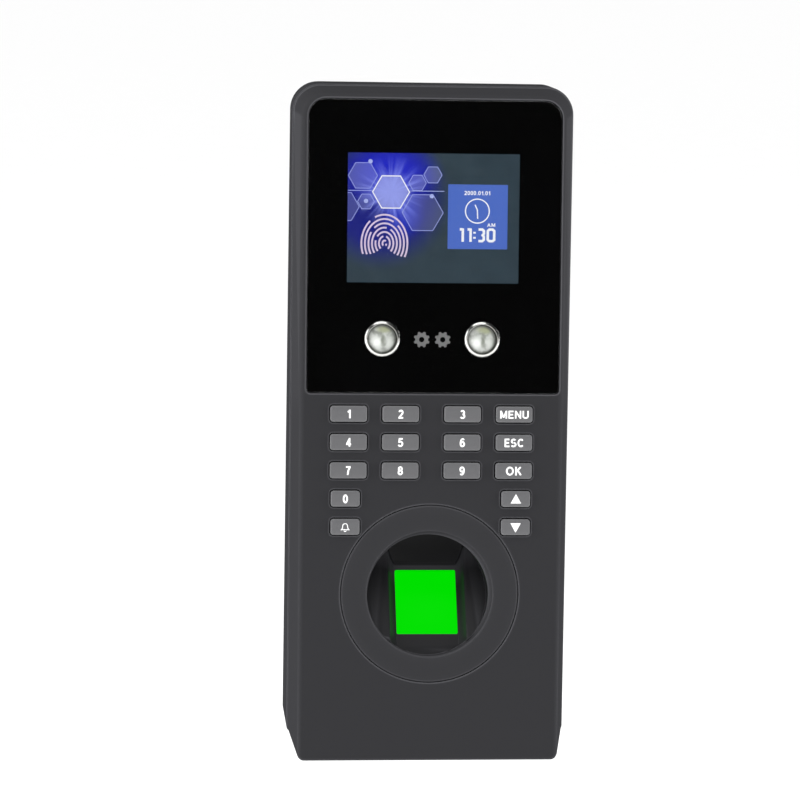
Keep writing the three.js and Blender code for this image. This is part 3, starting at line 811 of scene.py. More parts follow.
def hexagon_group():
    """A mask of the inside of a flat-topped hexagon."""
    tree, start, end = group("Hexagon", {"U": 0.0, "V": 0.0, "X": 0.0, "Y": 0.0, "Radius": 1.0}, ("Mask",))
    across = maths(tree, "ABSOLUTE", maths(tree, "SUBTRACT", (start, "U"), (start, "X")))
    up = maths(tree, "ABSOLUTE", maths(tree, "SUBTRACT", (start, "V"), (start, "Y")))
    slant = maths(tree, "ADD", maths(tree, "MULTIPLY", across, 0.866), maths(tree, "MULTIPLY", up, 0.5))
    away = maths(tree, "MAXIMUM", slant, up)
    inside = maths(tree, "SUBTRACT", maths(tree, "MULTIPLY", (start, "Radius"), 0.866), away)
    mask = maths(tree, "MULTIPLY", inside, 6.0, clamp=True)
    wire(tree, *mask, end, "Mask")
    return tree


# The display's hexagons in millimetres: right of and below the picture's corner, radius and tint.
HEXAGONS = (
    (12.35, 11.05, 5.25, 0.5),
    (4.3, 6.45, 4.15, 0.2),
    (19.85, 8.4, 2.5, 0.22),
    (24.2, 6.1, 2.6, 0.18),
    (21.4, 16.8, 5.85, 0.12),
    (5.25, 13.8, 2.4, 0.14),
    (-1.15, 15.3, 4.5, 0.12),
)


def picture_finish(sizes):
    """The display's background: blue light round the main hexagon that fades to slate."""
    material, tree, shader = finish("screen_glass", (0, 0, 0), 0.3)
    wide, tall = sizes.lit_width / MM, sizes.lit_height / MM
    place = node(tree, "ShaderNodeUVMap", {"uv_map": "picture"})
    sized = node(tree, "ShaderNodeVectorMath", {"operation": "MULTIPLY"})
    wire(tree, place, "UV", sized, 0)
    sized.inputs[1].default_value = (wide, tall, 0)
    position = (sized, "Vector")
    parts = node(tree, "ShaderNodeSeparateXYZ")
    wire(tree, *position, parts, "Vector")
    cloud = node(tree, "ShaderNodeTexNoise", Scale=0.16, Detail=2.0)
    wire(tree, *position, cloud, "Vector")
    tone = blend_colours(tree, (cloud, "Fac"), shade("22313b"), list(sizes.slate))

    def light(x, y, stretch, inner, outer):
        """A soft spot at x to the right of and y below the picture's corner."""
        return blot(tree, position, (x, tall - y, 0), (*stretch, 0), inner, outer)

    tone = blend_colours(tree, light(9.5, 13, (1, 1), 11, 21), tone, shade("10187c"))
    tone = blend_colours(tree, light(12, 6, (0.8, 1.1), 3, 13), tone, list(sizes.blue))
    tone = blend_colours(tree, light(15.5, 17, (1.1, 0.9), 2, 8), tone, shade("1d2cb4"))
    hub_x, hub_y, _, _ = HEXAGONS[0]
    outward = node(tree, "ShaderNodeVectorMath", {"operation": "SUBTRACT"})
    wire(tree, *position, outward, 0)
    outward.inputs[1].default_value = (hub_x, tall - hub_y, 0)
    turn = node(tree, "ShaderNodeVectorMath", {"operation": "NORMALIZE"})
    wire(tree, outward, "Vector", turn, 0)
    streaks = node(tree, "ShaderNodeTexNoise", Scale=4.5, Detail=2.0)
    wire(tree, turn, "Vector", streaks, "Vector")
    levels = node(tree, "ShaderNodeMapRange", From_Min=0.42, From_Max=0.7)
    wire(tree, streaks, "Fac", levels, "Value")
    rays = maths(tree, "MULTIPLY", (levels, "Result"), light(hub_x, hub_y, (1, 1), 4, 11.5))
    tone = blend_colours(tree, maths(tree, "MULTIPLY", rays, 0.75), tone, list(sizes.glow))
    core = maths(tree, "MULTIPLY", light(hub_x, hub_y, (1, 1), 1.5, 7.5), 0.6)
    tone = blend_colours(tree, core, tone, list(sizes.glow))
    for x, y, radius, tint in HEXAGONS:
        cell = effect(tree, "hexagon", X=x, Y=tall - y, Radius=radius)
        wire(tree, parts, "X", cell, "U")
        wire(tree, parts, "Y", cell, "V")
        tone = blend_colours(tree, maths(tree, "MULTIPLY", (cell, "Mask"), tint), tone, shade("a9b2ee"))
    wire(tree, *tone, shader, "Emission Color")
    shader.inputs["Emission Strength"].default_value = 1.0
    return material


def board_finish():
    """Green solder mask with tracks and vias showing through."""
    material, tree, shader = finish("circuit_board", shade("14532f"), 0.35, Coat_Weight=0.3)
    place = node(tree, "ShaderNodeTexCoord")
    tracks = node(tree, "ShaderNodeTexVoronoi", {"distance": "MANHATTAN", "feature": "F1"}, Scale=420.0)
    vias = node(tree, "ShaderNodeTexVoronoi", Scale=260.0)
    for texture in (tracks, vias):
        wire(tree, place, "Object", texture, "Vector")
    line = node(tree, "ShaderNodeMapRange", From_Min=0.32, From_Max=0.4)
    wire(tree, tracks, "Distance", line, "Value")
    dot = node(tree, "ShaderNodeMapRange", From_Min=0.14, From_Max=0.1)
    wire(tree, vias, "Distance", dot, "Value")
    masked = blend_colours(tree, (line, "Result"), shade("124a2a"), shade("1f6e40"))
    plated = blend_colours(tree, (dot, "Result"), masked, shade("c9b06a"))
    wire(tree, *plated, shader, "Base Color")
    relief(tree, shader, (line, "Result"), 0.02 * MM)
    return material


def floor_finish():
    """Pale matt paper."""
    material, tree, shader = finish("floor_paper", (0.9, 0.9, 0.9), 0.9, Specular_IOR_Level=0.1)
    place = node(tree, "ShaderNodeTexCoord")
    noise = node(tree, "ShaderNodeTexNoise", Scale=30.0, Detail=3.0)
    wire(tree, place, "Object", noise, "Vector")
    toned = blend_colours(tree, (noise, "Fac"), (0.89, 0.89, 0.89), (0.91, 0.91, 0.91))
    wire(tree, *toned, shader, "Base Color")
    return material


FINISHES = {}


def make_finishes(scene):
    """Every group and material, once."""
    GROUPS.update(
        grain=grain_group(),
        edges=edge_group(),
        handling=handling_group(),
        marks=brushing_group(),
        hexagon=hexagon_group(),
    )
    shells = scene.terminal_shells
    keys = scene.terminal_keypad
    display = scene.terminal_display
    well = scene.terminal_well
    FINISHES.update(
        shell=moulded(
            "shell_plastic", shells.colour, 0.52, edge_highlight=3.2, radius=0.7, gain=18.0, Specular_IOR_Level=0.0
        ),
        ring=moulded(
            "ring_plastic", well.ring_colour, 0.5, depth=0.006, edge_highlight=3.0, radius=0.5, gain=18.0,
            Specular_IOR_Level=0.0,
        ),
        well=well_finish(well.colour),
        key=moulded("key_plastic", keys.colour, 0.42, grain=6500.0, depth=0.006, edge_highlight=1.75, radius=0.6),
        legend=printed("legend_ink", keys.legend),
        window=clear_finish(),
        ink=printed("window_ink", (0.0012, 0.0012, 0.0013), 0.6, Specular_IOR_Level=0.0),
        mark=printed("mark_ink", shade("b0b0b0")),
        chrome=metal("lamp_metal", shade("dcdcd8"), 0.24, marks=300.0, depth=0.001),
        lens=lens_finish(),
        sensor=sensor_finish(well.light),
        screen=picture_finish(display),
        card=glowing("screen_card", display.card, 1.0),
        white_light=glowing("screen_white", (0.95, 0.96, 1.0), 1.0),
        pale_light=glowing("screen_pale", shade("b4c0fa"), 0.9),
        print_light=glowing("screen_print", shade("e6d3ee"), 0.9),
        faint_light=glowing("screen_faint", shade("a3aef2"), 0.9),
        steel=metal("sheet_steel", shade("b9babb"), 0.34),
        screw=metal("screw_steel", shade("8d8f92"), 0.3, marks=1600.0),
        board=board_finish(),
        silicone=moulded("silicone", shade("55565a"), 0.75, grain=3000.0, depth=0.01),
        module=moulded("module_plastic", shade("1a1a1c"), 0.45, depth=0.004),
        nylon=moulded("connector_nylon", shade("d9d6c8"), 0.5, edge_highlight=1.05),
        film=moulded("ribbon_film", shade("b98a3e"), 0.3, grain=1500.0, depth=0.001, Coat_Weight=0.4),
    )


# ------------------------------------------------------------------ shells
CAD_CHAMFER = 0.6 * MM  # round the CAD shell's face
LEVEL_TOLERANCE = 0.02 * MM  # within which a point lies on the face
BACK_TURN = Matrix.Rotation(math.pi, 4, "Y")  # from out of the wall to into it
PAST = MM  # how far a cutter reaches past the surface that it opens

SCREW_SEAT = 1.85 * MM  # depth of a case screw's head in its well
BOSS_RADIUS = 4.2 * MM
BOSS_ABOVE_SEAT = 2.5 * MM
WELL_RADIUS = 3 * MM  # of the wells over the screws' heads
SHANK_HOLE = 1.8 * MM

PLATE_POCKET = 1.8 * MM  # depth of the pocket that takes the wall plate
PLATE_CORNER = 3.4 * MM
PLATE_CLEARANCE = 0.4 * MM
SLOT_START = 0.8 * MM  # where the openings in the pocket's floor start
SLOT_END = 5 * MM
CABLE_OPENING = {"half": 16 * MM, "low": 62 * MM, "high": 84 * MM}  # above the plate's foot
PLUNGER_HOLE = 1.7 * MM

HOOKS = (-12 * MM, 12 * MM)
HOOK_SLOT = {"half": 3.6 * MM, "drop": 28 * MM, "height": 5.9 * MM}  # drop from the plate's head
TAB_SLOT = {"half": 6.6 * MM, "low": -4.2 * MM, "high": 1.6 * MM}  # from the plate's foot
SLOT_CORNER = 0.4 * MM

LOCK_BLOCK = {"half": 5 * MM, "low": -10 * MM, "high": -3 * MM, "tall": 4.4 * MM}  # round the security screw
LOCK_SEAT = 1.9 * MM

INNER_FACE = 2 * MM  # from the rear shell's outline to its inside
TONGUE = {"inset": 2.7 * MM, "behind": 1.3 * MM}
FRONT_CAVITY = {"inset": 3.6 * MM, "behind": 3 * MM}
OPENING_DEPTH = 5 * MM  # of the front shell's openings
RING_OPENING = 21.4 * MM
LCD_OPENING = Vector((30.7 * MM, 21.9 * MM, 0))  # half width and height
LAMP_OPENING = 5.7 * MM
CAMERA_OPENING = Vector((6.2 * MM, 3.1 * MM, 0))


def face_outline(sizes, grow=0.0):
    """The face's edge before rounding, read from the flat of the CAD face."""
    back = FACE.inverted()
    flat = [p for p in (back @ point for point in vertices("front_shell")) if p.z > -LEVEL_TOLERANCE]
    low = (min(p.x for p in flat) - CAD_CHAMFER, min(p.y for p in flat) - CAD_CHAMFER - sizes.face_drop)
    high = (max(p.x for p in flat) + CAD_CHAMFER, max(p.y for p in flat) + CAD_CHAMFER)
    return outline(low, high, sizes.face_low_radius, sizes.face_high_radius, grow, steps=12)


def side_outline(sizes, grow=0.0):
    """The rear shell's outline, in the wall's frame."""
    low, high = reach("rear_shell", WALL)
    low.y -= sizes.foot_drop
    return outline(low, high, sizes.low_radius, sizes.high_radius, grow, steps=12)


def at_depth(points, depth):
    """Flat points in the wall's frame, with depth(height) out of the wall, as points of the row frame."""
    return [WALL @ Vector((p.x, p.y, depth(p.y))) for p in points]


def hook_slots():
    """Cutters for the slots that the wall plate's hooks and locking tab go through."""
    low, high = reach("wall_plate", WALL)
    half = HOOK_SLOT["half"]
    foot = high.y - HOOK_SLOT["drop"]
    tools = []
    for x in HOOKS:
        shape = outline((x - half, foot), (x + half, foot + HOOK_SLOT["height"]), SLOT_CORNER, SLOT_CORNER)
        tools.append(prism(shape, SLOT_START, SLOT_END, WALL))
    half = TAB_SLOT["half"]
    ends = (low.y + TAB_SLOT["low"], low.y + TAB_SLOT["high"])
    shape = outline((-half, ends[0]), (half, ends[1]), SLOT_CORNER, SLOT_CORNER)
    tools.append(prism(shape, -PAST, SLOT_END, WALL))
    return tools


def sound_slots(rows=2, pitch=2.8 * MM, longest=7.5 * MM, half_height=0.7 * MM, corner=0.65 * MM):
    """Cutters for the sound slots behind the speaker, shorter away from its middle."""
    middle = middle_of("speaker", WALL)
    tools = []
    for row in range(-rows, rows + 1):
        end = Vector((longest - abs(row) * MM, half_height))
        centre = Vector((0, middle.y + row * pitch))

        def slot(grow, low=centre - end, high=centre + end):
            return outline(low, high, corner, corner, grow)

        tools.append(flared(slot, 6 * MM, 0.25 * MM, WALL @ BACK_TURN))
    return tools


def screw_seats():
    """Bosses, head wells and shank holes for the case screws."""
    mirror = Matrix.Scale(-1, 4, Vector((1, 0, 0)))
    bosses = []
    wells = []
    holes = []
    for name in SCREW_NAMES:
        low, high = reach(name, WALL)
        middle = (low + high) / 2
        seat = low.z + SCREW_SEAT

        def well(grow, at=middle):
            return circle(at, WELL_RADIUS + grow)

        bosses.append(prism(circle(middle, BOSS_RADIUS), MM, seat + BOSS_ABOVE_SEAT, WALL))
        wells.append(flared(well, seat, 0.4 * MM, WALL @ BACK_TURN @ mirror))
        holes.append(prism(circle(middle, SHANK_HOLE, 24), seat - MM, seat + 4 * MM, WALL))
    return joined(*bosses), joined(*wells), joined(*holes)


def plate_cutters():
    """Cutters for the wall plate's pocket, the cable opening and the plunger's hole."""
    low, high = reach("wall_plate", WALL)
    pocket = outline(low, high, PLATE_CORNER, PLATE_CORNER, PLATE_CLEARANCE)
    half = CABLE_OPENING["half"]
    ends = (low.y + CABLE_OPENING["low"], low.y + CABLE_OPENING["high"])
    cable = outline((-half, ends[0]), (half, ends[1]), 1.5 * MM, 1.5 * MM)
    plunger = circle(middle_of("tamper_plunger", WALL), PLUNGER_HOLE, 32)
    return (
        prism(pocket, -PAST, PLATE_POCKET, WALL),
        prism(cable, SLOT_START, SLOT_END, WALL),
        prism(plunger, SLOT_START, SLOT_END, WALL),
    )


def foot_openings():
    """The security screw's block, its head's well and its hole, and the service socket's opening."""
    low, high = reach("usb_port", WALL)
    mouth = outline((low.x, -high.z), (high.x, -low.z), 0.6 * MM, 0.6 * MM, 0.35 * MM)
    socket = prism(mouth, low.y - 3 * MM, low.y + 2.4 * MM)
    screw = middle_of("security_screw", WALL)
    foot = reach("security_screw", WALL)[0].y
    half = LOCK_BLOCK["half"]
    shape = outline((-half, LOCK_BLOCK["low"]), (half, LOCK_BLOCK["high"]), 0.5 * MM, 0.5 * MM)
    block = prism(shape, foot, foot + LOCK_BLOCK["tall"])
    well = prism(circle((screw.x, -screw.z), WELL_RADIUS), foot - 3 * MM, foot + LOCK_SEAT)
    hole = prism(circle((screw.x, -screw.z), SHANK_HOLE), foot - MM, foot + 8 * MM)
    return block, joined(socket, well), hole


class TERMINAL_OT_rear_shell(bpy.types.Operator):
    """Builds the rear shell with its screw wells, plate pocket, sound slots and socket opening"""

    bl_idname = "terminal.rear_shell"
    bl_label = "Rear shell"

    def execute(self, context):
        sizes = context.scene.terminal_shells
        edge = sizes.back_round
        rings = [
            at_depth(side_outline(sizes, edge * (math.sin(a) - 1)), lambda _, a=a: edge * (1 - math.cos(a)))
            for a in quarter(5)
        ]
        small = sizes.seam_break
        rings.append(at_depth(side_outline(sizes), lambda y: seam_depth(y) - small))
        rings.append(at_depth(side_outline(sizes, -small * 0.3), lambda y: seam_depth(y) - small * 0.3))
        rings.append(at_depth(side_outline(sizes, -small), seam_depth))
        inside = side_outline(sizes, -INNER_FACE)
        cavity = skin([
            at_depth(inside, lambda _: sizes.rear_floor),
            at_depth(inside, lambda y: seam_depth(y) + PAST),
        ])
        bosses, wells, holes = screw_seats()
        pocket, cable, plunger = plate_cutters()
        lock_block, foot_cuts, lock_hole = foot_openings()
        mesh = combine(
            skin(rings),
            ("DIFFERENCE", cavity),
            ("UNION", bosses),
            ("UNION", lock_block),
            ("DIFFERENCE", wells),
            ("DIFFERENCE", holes),
            ("DIFFERENCE", pocket),
            ("DIFFERENCE", joined(*hook_slots(), cable)),
            ("DIFFERENCE", joined(*sound_slots(), plunger)),
            ("DIFFERENCE", foot_cuts),
            ("DIFFERENCE", lock_hole),
        )
        plastic = FINISHES["shell"]
        piece("rear_casing", tidy(mesh), plastic, replaces=["rear_shell"], weighted=True)
        return {"FINISHED"}


def key_outline(key, sizes, grow=0.0):
    """A key cap's outline in the face's frame."""
    low, high = reach(key, FACE)
    inset = Vector((sizes.flange + sizes.inset, sizes.flange + sizes.inset, 0))
    return outline(low + inset, high - inset, sizes.corner, sizes.corner, grow, steps=6)


def window_outline(sizes, grow=0.0):
    """The window's outline in the face's frame."""
    low, high = reach("display_window", FACE)
    low.x += sizes.left_shift
    high += Vector((sizes.right_shift, sizes.top_shift, 0))
    return outline(low, high, sizes.foot_corner, sizes.corner, grow, steps=12)


def shell_skin(sizes):
    """The front shell's outer skin, from the seam over the rounded edge to the face."""
    gap = sizes.seam_gap
    small = sizes.seam_break
    base = [WALL.inverted() @ p for p in at_depth(side_outline(sizes, -sizes.step), seam_depth)]
    foot = [WALL @ Vector((p.x, p.y, p.z + gap + small)) for p in base]
    part = small * 0.3
    rim = at_depth(side_outline(sizes, -sizes.step - small), lambda y: seam_depth(y) + gap)
    mid = at_depth(side_outline(sizes, -sizes.step - part), lambda y: seam_depth(y) + gap + part)
    corner = [FACE @ p for p in lift(face_outline(sizes), 0)]
    after = [FACE @ p for p in lift(face_outline(sizes, -sizes.face_round), 0)]
    before = [c + (f - c).normalized() * sizes.face_round for c, f in zip(corner, foot)]
    curves = [round_corner(b, c, a) for b, c, a in zip(before, corner, after)]
    return skin([rim, mid, foot] + [list(ring) for ring in zip(*curves)])


def face_openings(ring_middle):
    """Cutters for the openings behind the ring, the display, the lamps and the cameras."""
    lcd = middle_of("lcd_glass", FACE)
    camera = (middle_of("camera_left", FACE) + middle_of("camera_right", FACE)) / 2
    shapes = [
        circle(ring_middle, RING_OPENING, 96),
        outline(lcd - LCD_OPENING, lcd + LCD_OPENING, MM, MM),
        *[circle(middle_of(f"lamp_ring_{side}", FACE), LAMP_OPENING) for side in SIDES],
        outline(camera - CAMERA_OPENING, camera + CAMERA_OPENING, 3 * MM, 3 * MM),
    ]
    return joined(*[prism(shape, -OPENING_DEPTH, PAST, FACE) for shape in shapes])


class TERMINAL_OT_front_shell(bpy.types.Operator):
    """Builds the front shell: tapering sides, rounded face, and seats for the window, keys and ring"""

    bl_idname = "terminal.front_shell"
    bl_label = "Front shell"

    def execute(self, context):
        sizes = context.scene.terminal_shells
        keys = context.scene.terminal_keypad
        display = context.scene.terminal_display
        edge = sizes.hole_round
        inset = side_outline(sizes, -TONGUE["inset"])
        tongue = skin([
            at_depth(inset, lambda y: seam_depth(y) - TONGUE["behind"]),
            at_depth(inset, lambda y: seam_depth(y) + PAST),
        ])
        inset = side_outline(sizes, -FRONT_CAVITY["inset"])
        cavity = skin([
            at_depth(inset, lambda y: seam_depth(y) - FRONT_CAVITY["behind"]),
            [FACE @ p for p in lift(face_outline(sizes, -sizes.wall), -sizes.wall)],
        ])
        window = flared(lambda grow: window_outline(display, 0.3 * MM + grow), 1.4 * MM, edge, FACE)
        low, high = reach("finger_ring", FACE)
        middle = (low + high) / 2
        radius = (high.x - low.x) / 2 + 0.2 * MM
        ring_seat = flared(lambda grow: circle(middle, radius + grow, 128), 1.3 * MM, 0.22 * MM, FACE)
        holes = [
            flared(lambda grow, key=key: key_outline(key, keys, keys.clearance + grow), 4 * MM, edge, FACE)
            for key in KEY_NAMES
        ]
        rows = sorted({round(middle_of(key, FACE).y, 4) for key in KEY_NAMES})
        pitch = rows[1] - rows[0]
        levels = [row - pitch / 2 for row in rows] + [rows[-1] + pitch / 2 + MM, middle.y]
        mesh = combine(
            divided(shell_skin(sizes), FACE, (-16 * MM, 0, 16 * MM), levels),
            ("UNION", tongue),
            ("DIFFERENCE", cavity),
            ("DIFFERENCE", joined(window, ring_seat)),
            ("DIFFERENCE", joined(*holes)),
            ("DIFFERENCE", face_openings(middle)),
        )
        plastic = FINISHES["shell"]
        piece("front_casing", tidy(mesh), plastic, replaces=["front_shell"], weighted=True)
        return {"FINISHED"}


# ------------------------------------------------------------------ lettering
def bow(x, y, wide, tall, start, end, steps=20):
    """Points along an elliptical arc, with its angles in degrees."""
    turns = [math.radians(start + (end - start) * i / steps) for i in range(steps + 1)]
    return [(x + wide * math.cos(t), y + tall * math.sin(t)) for t in turns]


# Each sign's width and the middle lines of its strokes, for a height of 1.
SIX = [bow(0.25, 0.3, 0.25, 0.3, 0, 360), bow(0.29, 0.45, 0.29, 0.55, 52, 180) + [(0, 0.3)]]
SIGNS = {
    "0": (0.48, [bow(0.24, 0.5, 0.24, 0.5, 0, 360)]),
    "1": (0.3, [[(0.3, 1.09), (0.3, -0.1)], [(0.0, 0.76), (0.15, 0.83), (0.3, 1.0)]]),
    "2": (0.5, [bow(0.25, 0.73, 0.24, 0.27, 165, -38) + [(0.02, 0.02)], [(-0.09, 0), (0.57, 0)]]),
    "3": (0.5, [bow(0.23, 0.75, 0.22, 0.25, 155, -90), bow(0.22, 0.26, 0.27, 0.26, 90, -155)]),
    "4": (0.5, [[(0.01, 0.27), (0.38, 0.98)], [(-0.08, 0.24), (0.6, 0.24)], [(0.38, 1.09), (0.38, -0.1)]]),
    "5": (0.5, [
        [(0.07, 1), (0.54, 1)], [(0.11, 1.08), (0.04, 0.46)], bow(0.22, 0.31, 0.28, 0.31, 130, -155),
    ]),
    "6": (0.5, SIX),
    "7": (0.5, [[(-0.07, 1), (0.57, 1)], [(0.48, 0.98), (0.27, 0.55), (0.16, -0.1)]]),
    "8": (0.5, [bow(0.25, 0.76, 0.21, 0.24, 0, 360), bow(0.25, 0.27, 0.25, 0.27, 0, 360)]),
    "9": (0.5, [[(0.5 - x, 1 - y) for x, y in line] for line in SIX]),
    "M": (0.62, [
        [(0, -0.1), (0, 1.1)], [(0.62, -0.1), (0.62, 1.1)],
        [(0.02, 1), (0.31, 0.05)], [(0.6, 1), (0.31, 0.05)],
    ]),
    "E": (0.42, [[(0, -0.1), (0, 1.1)], [(0, 1), (0.48, 1)], [(0, 0.51), (0.44, 0.51)], [(0, 0), (0.5, 0)]]),
    "N": (0.54, [[(0, -0.1), (0, 1.1)], [(0.54, -0.1), (0.54, 1.1)], [(0.02, 1), (0.52, 0)]]),
    "U": (0.54, [[(0, 1.1)] + bow(0.27, 0.28, 0.27, 0.28, 180, 360) + [(0.54, 1.1)]]),
    "S": (0.5, [bow(0.25, 0.75, 0.23, 0.25, 30, 262), bow(0.24, 0.26, 0.26, 0.26, 82, -150)]),
    "C": (0.54, [bow(0.3, 0.5, 0.3, 0.5, 42, 318)]),
    "O": (0.66, [bow(0.33, 0.5, 0.33, 0.5, 0, 360)]),
    "K": (0.5, [[(0, -0.1), (0, 1.1)], [(0.48, 1.06), (0.04, 0.42)], [(0.18, 0.6), (0.52, -0.06)]]),
    "A": (0.58, [[(0, -0.1), (0.29, 1)], [(0.58, -0.1), (0.29, 1)], [(0.1, 0.3), (0.48, 0.3)]]),
    ".": (0.1, [[(-0.03, 0), (0.13, 0)]]),
}
# The squared figures of the clock.
CLOCK_SIGNS = {
    "0": (0.5, [[
        (0.12, 0), (0, 0.12), (0, 0.88), (0.12, 1),
        (0.38, 1), (0.5, 0.88), (0.5, 0.12), (0.38, 0), (0.12, 0),
    ]]),
    "1": (0.3, [[(0.06, 1), (0.3, 1)], [(0.3, 1.08), (0.3, -0.08)]]),
    "3": (0.42, [[
        (0, 1), (0.3, 1), (0.42, 0.88), (0.42, 0.62), (0.32, 0.5),
        (0.42, 0.38), (0.42, 0.12), (0.3, 0), (0, 0),
    ]]),
    ":": (0.0, [[(0, 0.2), (0, 0.36)], [(0, 0.64), (0, 0.8)]]),
}


def lettering(text, height, thick, place, width=None, bold=0.19, signs=SIGNS):
    """Flat letters drawn with an even stroke, centred on the frame's origin; bold is the stroke's width."""
    line = height * bold
    tall = height - line
    gap = 0.13 + bold
    total = sum(signs[sign][0] for sign in text) + gap * (len(text) - 1)
    wide = (width - line) / total if width else tall
    left = -total / 2
    strokes = []
    for sign in text:
        advance, lines = signs[sign]
        for points in lines:
            closed = math.dist(points[0], points[-1]) < 0.001
            flat = [Vector(((left + x) * wide, (y - 0.5) * tall)) for x, y in points]
            strokes.append(stroke(flat[:-1] if closed else flat, line, thick, place, closed))
        left += advance + gap
    return combine(strokes[0], *[("UNION", other) for other in strokes[1:]])


# ------------------------------------------------------------------ window, display and lamps
INK_GAP = 0.05 * MM  # between the clear plate and the print behind it
MARK_HOLE = 0.33  # of the mark's radius
MARK_THICK = 0.03 * MM
MARK_DEPTH = 0.045 * MM  # of the marks' rear below the clear plate

LAYER = 0.03 * MM  # between the display's drawn layers
INK = 0.01 * MM  # thickness of a drawn line
FINE_LINE = 0.18 * MM
HEXAGON_LINE = 0.2 * MM
MAIN_LINE = 0.3 * MM
CLOCK_LINE = 0.34 * MM
RIDGE_LINE = 0.5 * MM


def gear(centre, sizes, teeth=8):
    """A toothed ring's outer points, four for each tooth."""
    points = []
    for i in range(teeth):
        for offset, share in ((-0.30, 0.8), (-0.17, 1.0), (0.17, 1.0), (0.30, 0.8)):
            angle = 2 * math.pi * (i + 0.5 + offset) / teeth
            out = Vector((math.cos(angle), math.sin(angle)))
            points.append(centre + out * sizes.mark * share)
    return points


def camera_mark(at, sizes, floor):
    """A toothed mark with a round hole in its middle."""
    rings = []
    for point in gear(at, sizes):
        inner = at + (point - at).normalized() * sizes.mark * MARK_HOLE
        rings.append([
            Vector((*inner, floor)), Vector((*point, floor)),
            Vector((*point, floor + MARK_THICK)), Vector((*inner, floor + MARK_THICK)),
        ])
    return skin(rings, FACE, closed=True)


class TERMINAL_OT_window(bpy.types.Operator):
    """Builds the clear window, the black print behind it and the marks round the cameras"""

    bl_idname = "terminal.window"
    bl_label = "Window"

    def execute(self, context):
        sizes = context.scene.terminal_display
        low, high = reach("display_window", FACE)
        under = high.z - sizes.clear
        lamps = [middle_of(f"lamp_ring_{side}", FACE) for side in SIDES]
        clear = plate(lambda grow: window_outline(sizes, grow), under, high.z, sizes.edge, FACE)
        hole = sizes.lamp_hole
        holes = [
            flared(lambda grow, at=at: circle(at, hole + grow, 64), 3 * MM, sizes.edge, FACE, top=high.z)
            for at in lamps
        ]
        clear = tidy(combine(clear, ("DIFFERENCE", joined(*holes))))
        acrylic = FINISHES["window"]
        piece("window_plate", clear, acrylic, replaces=["display_window"], weighted=True)
        lcd = middle_of("lcd_glass", FACE)
        half = Vector((sizes.lit_width / 2, sizes.lit_height / 2, 0))
        film = prism(window_outline(sizes, -INK_GAP), low.z, under - INK_GAP, FACE)
        shapes = [outline(lcd - half, lcd + half, 0.1 * MM, 0.1 * MM)]
        shapes += [circle(at, hole, 64) for at in lamps]
        cuts = [prism(shape, -3 * MM, MM, FACE) for shape in shapes]
        film = combine(film, ("DIFFERENCE", joined(*cuts)))
        piece("window_print", tidy(film), FINISHES["ink"])
        for side in SIDES:
            at = middle_of(f"camera_{side}", FACE).xy - Vector((0, sizes.mark_drop))
            mark = camera_mark(at, sizes, under - MARK_DEPTH)
            piece(f"camera_mark_{side}", mark, FINISHES["mark"])
        return {"FINISHED"}


def hexagon(radius):
    """A flat-topped hexagon's corners."""
    turns = [math.pi / 3 * i for i in range(6)]
    return [Vector((math.cos(t), math.sin(t))) * radius for t in turns]


def millimetres(*pairs):
    """Flat points from pairs in millimetres."""
    return [Vector(pair) * MM for pair in pairs]


def shifted(x, y, z=0.0):
    """The face's frame, moved."""
    return FACE @ Matrix.Translation((x, y, z))


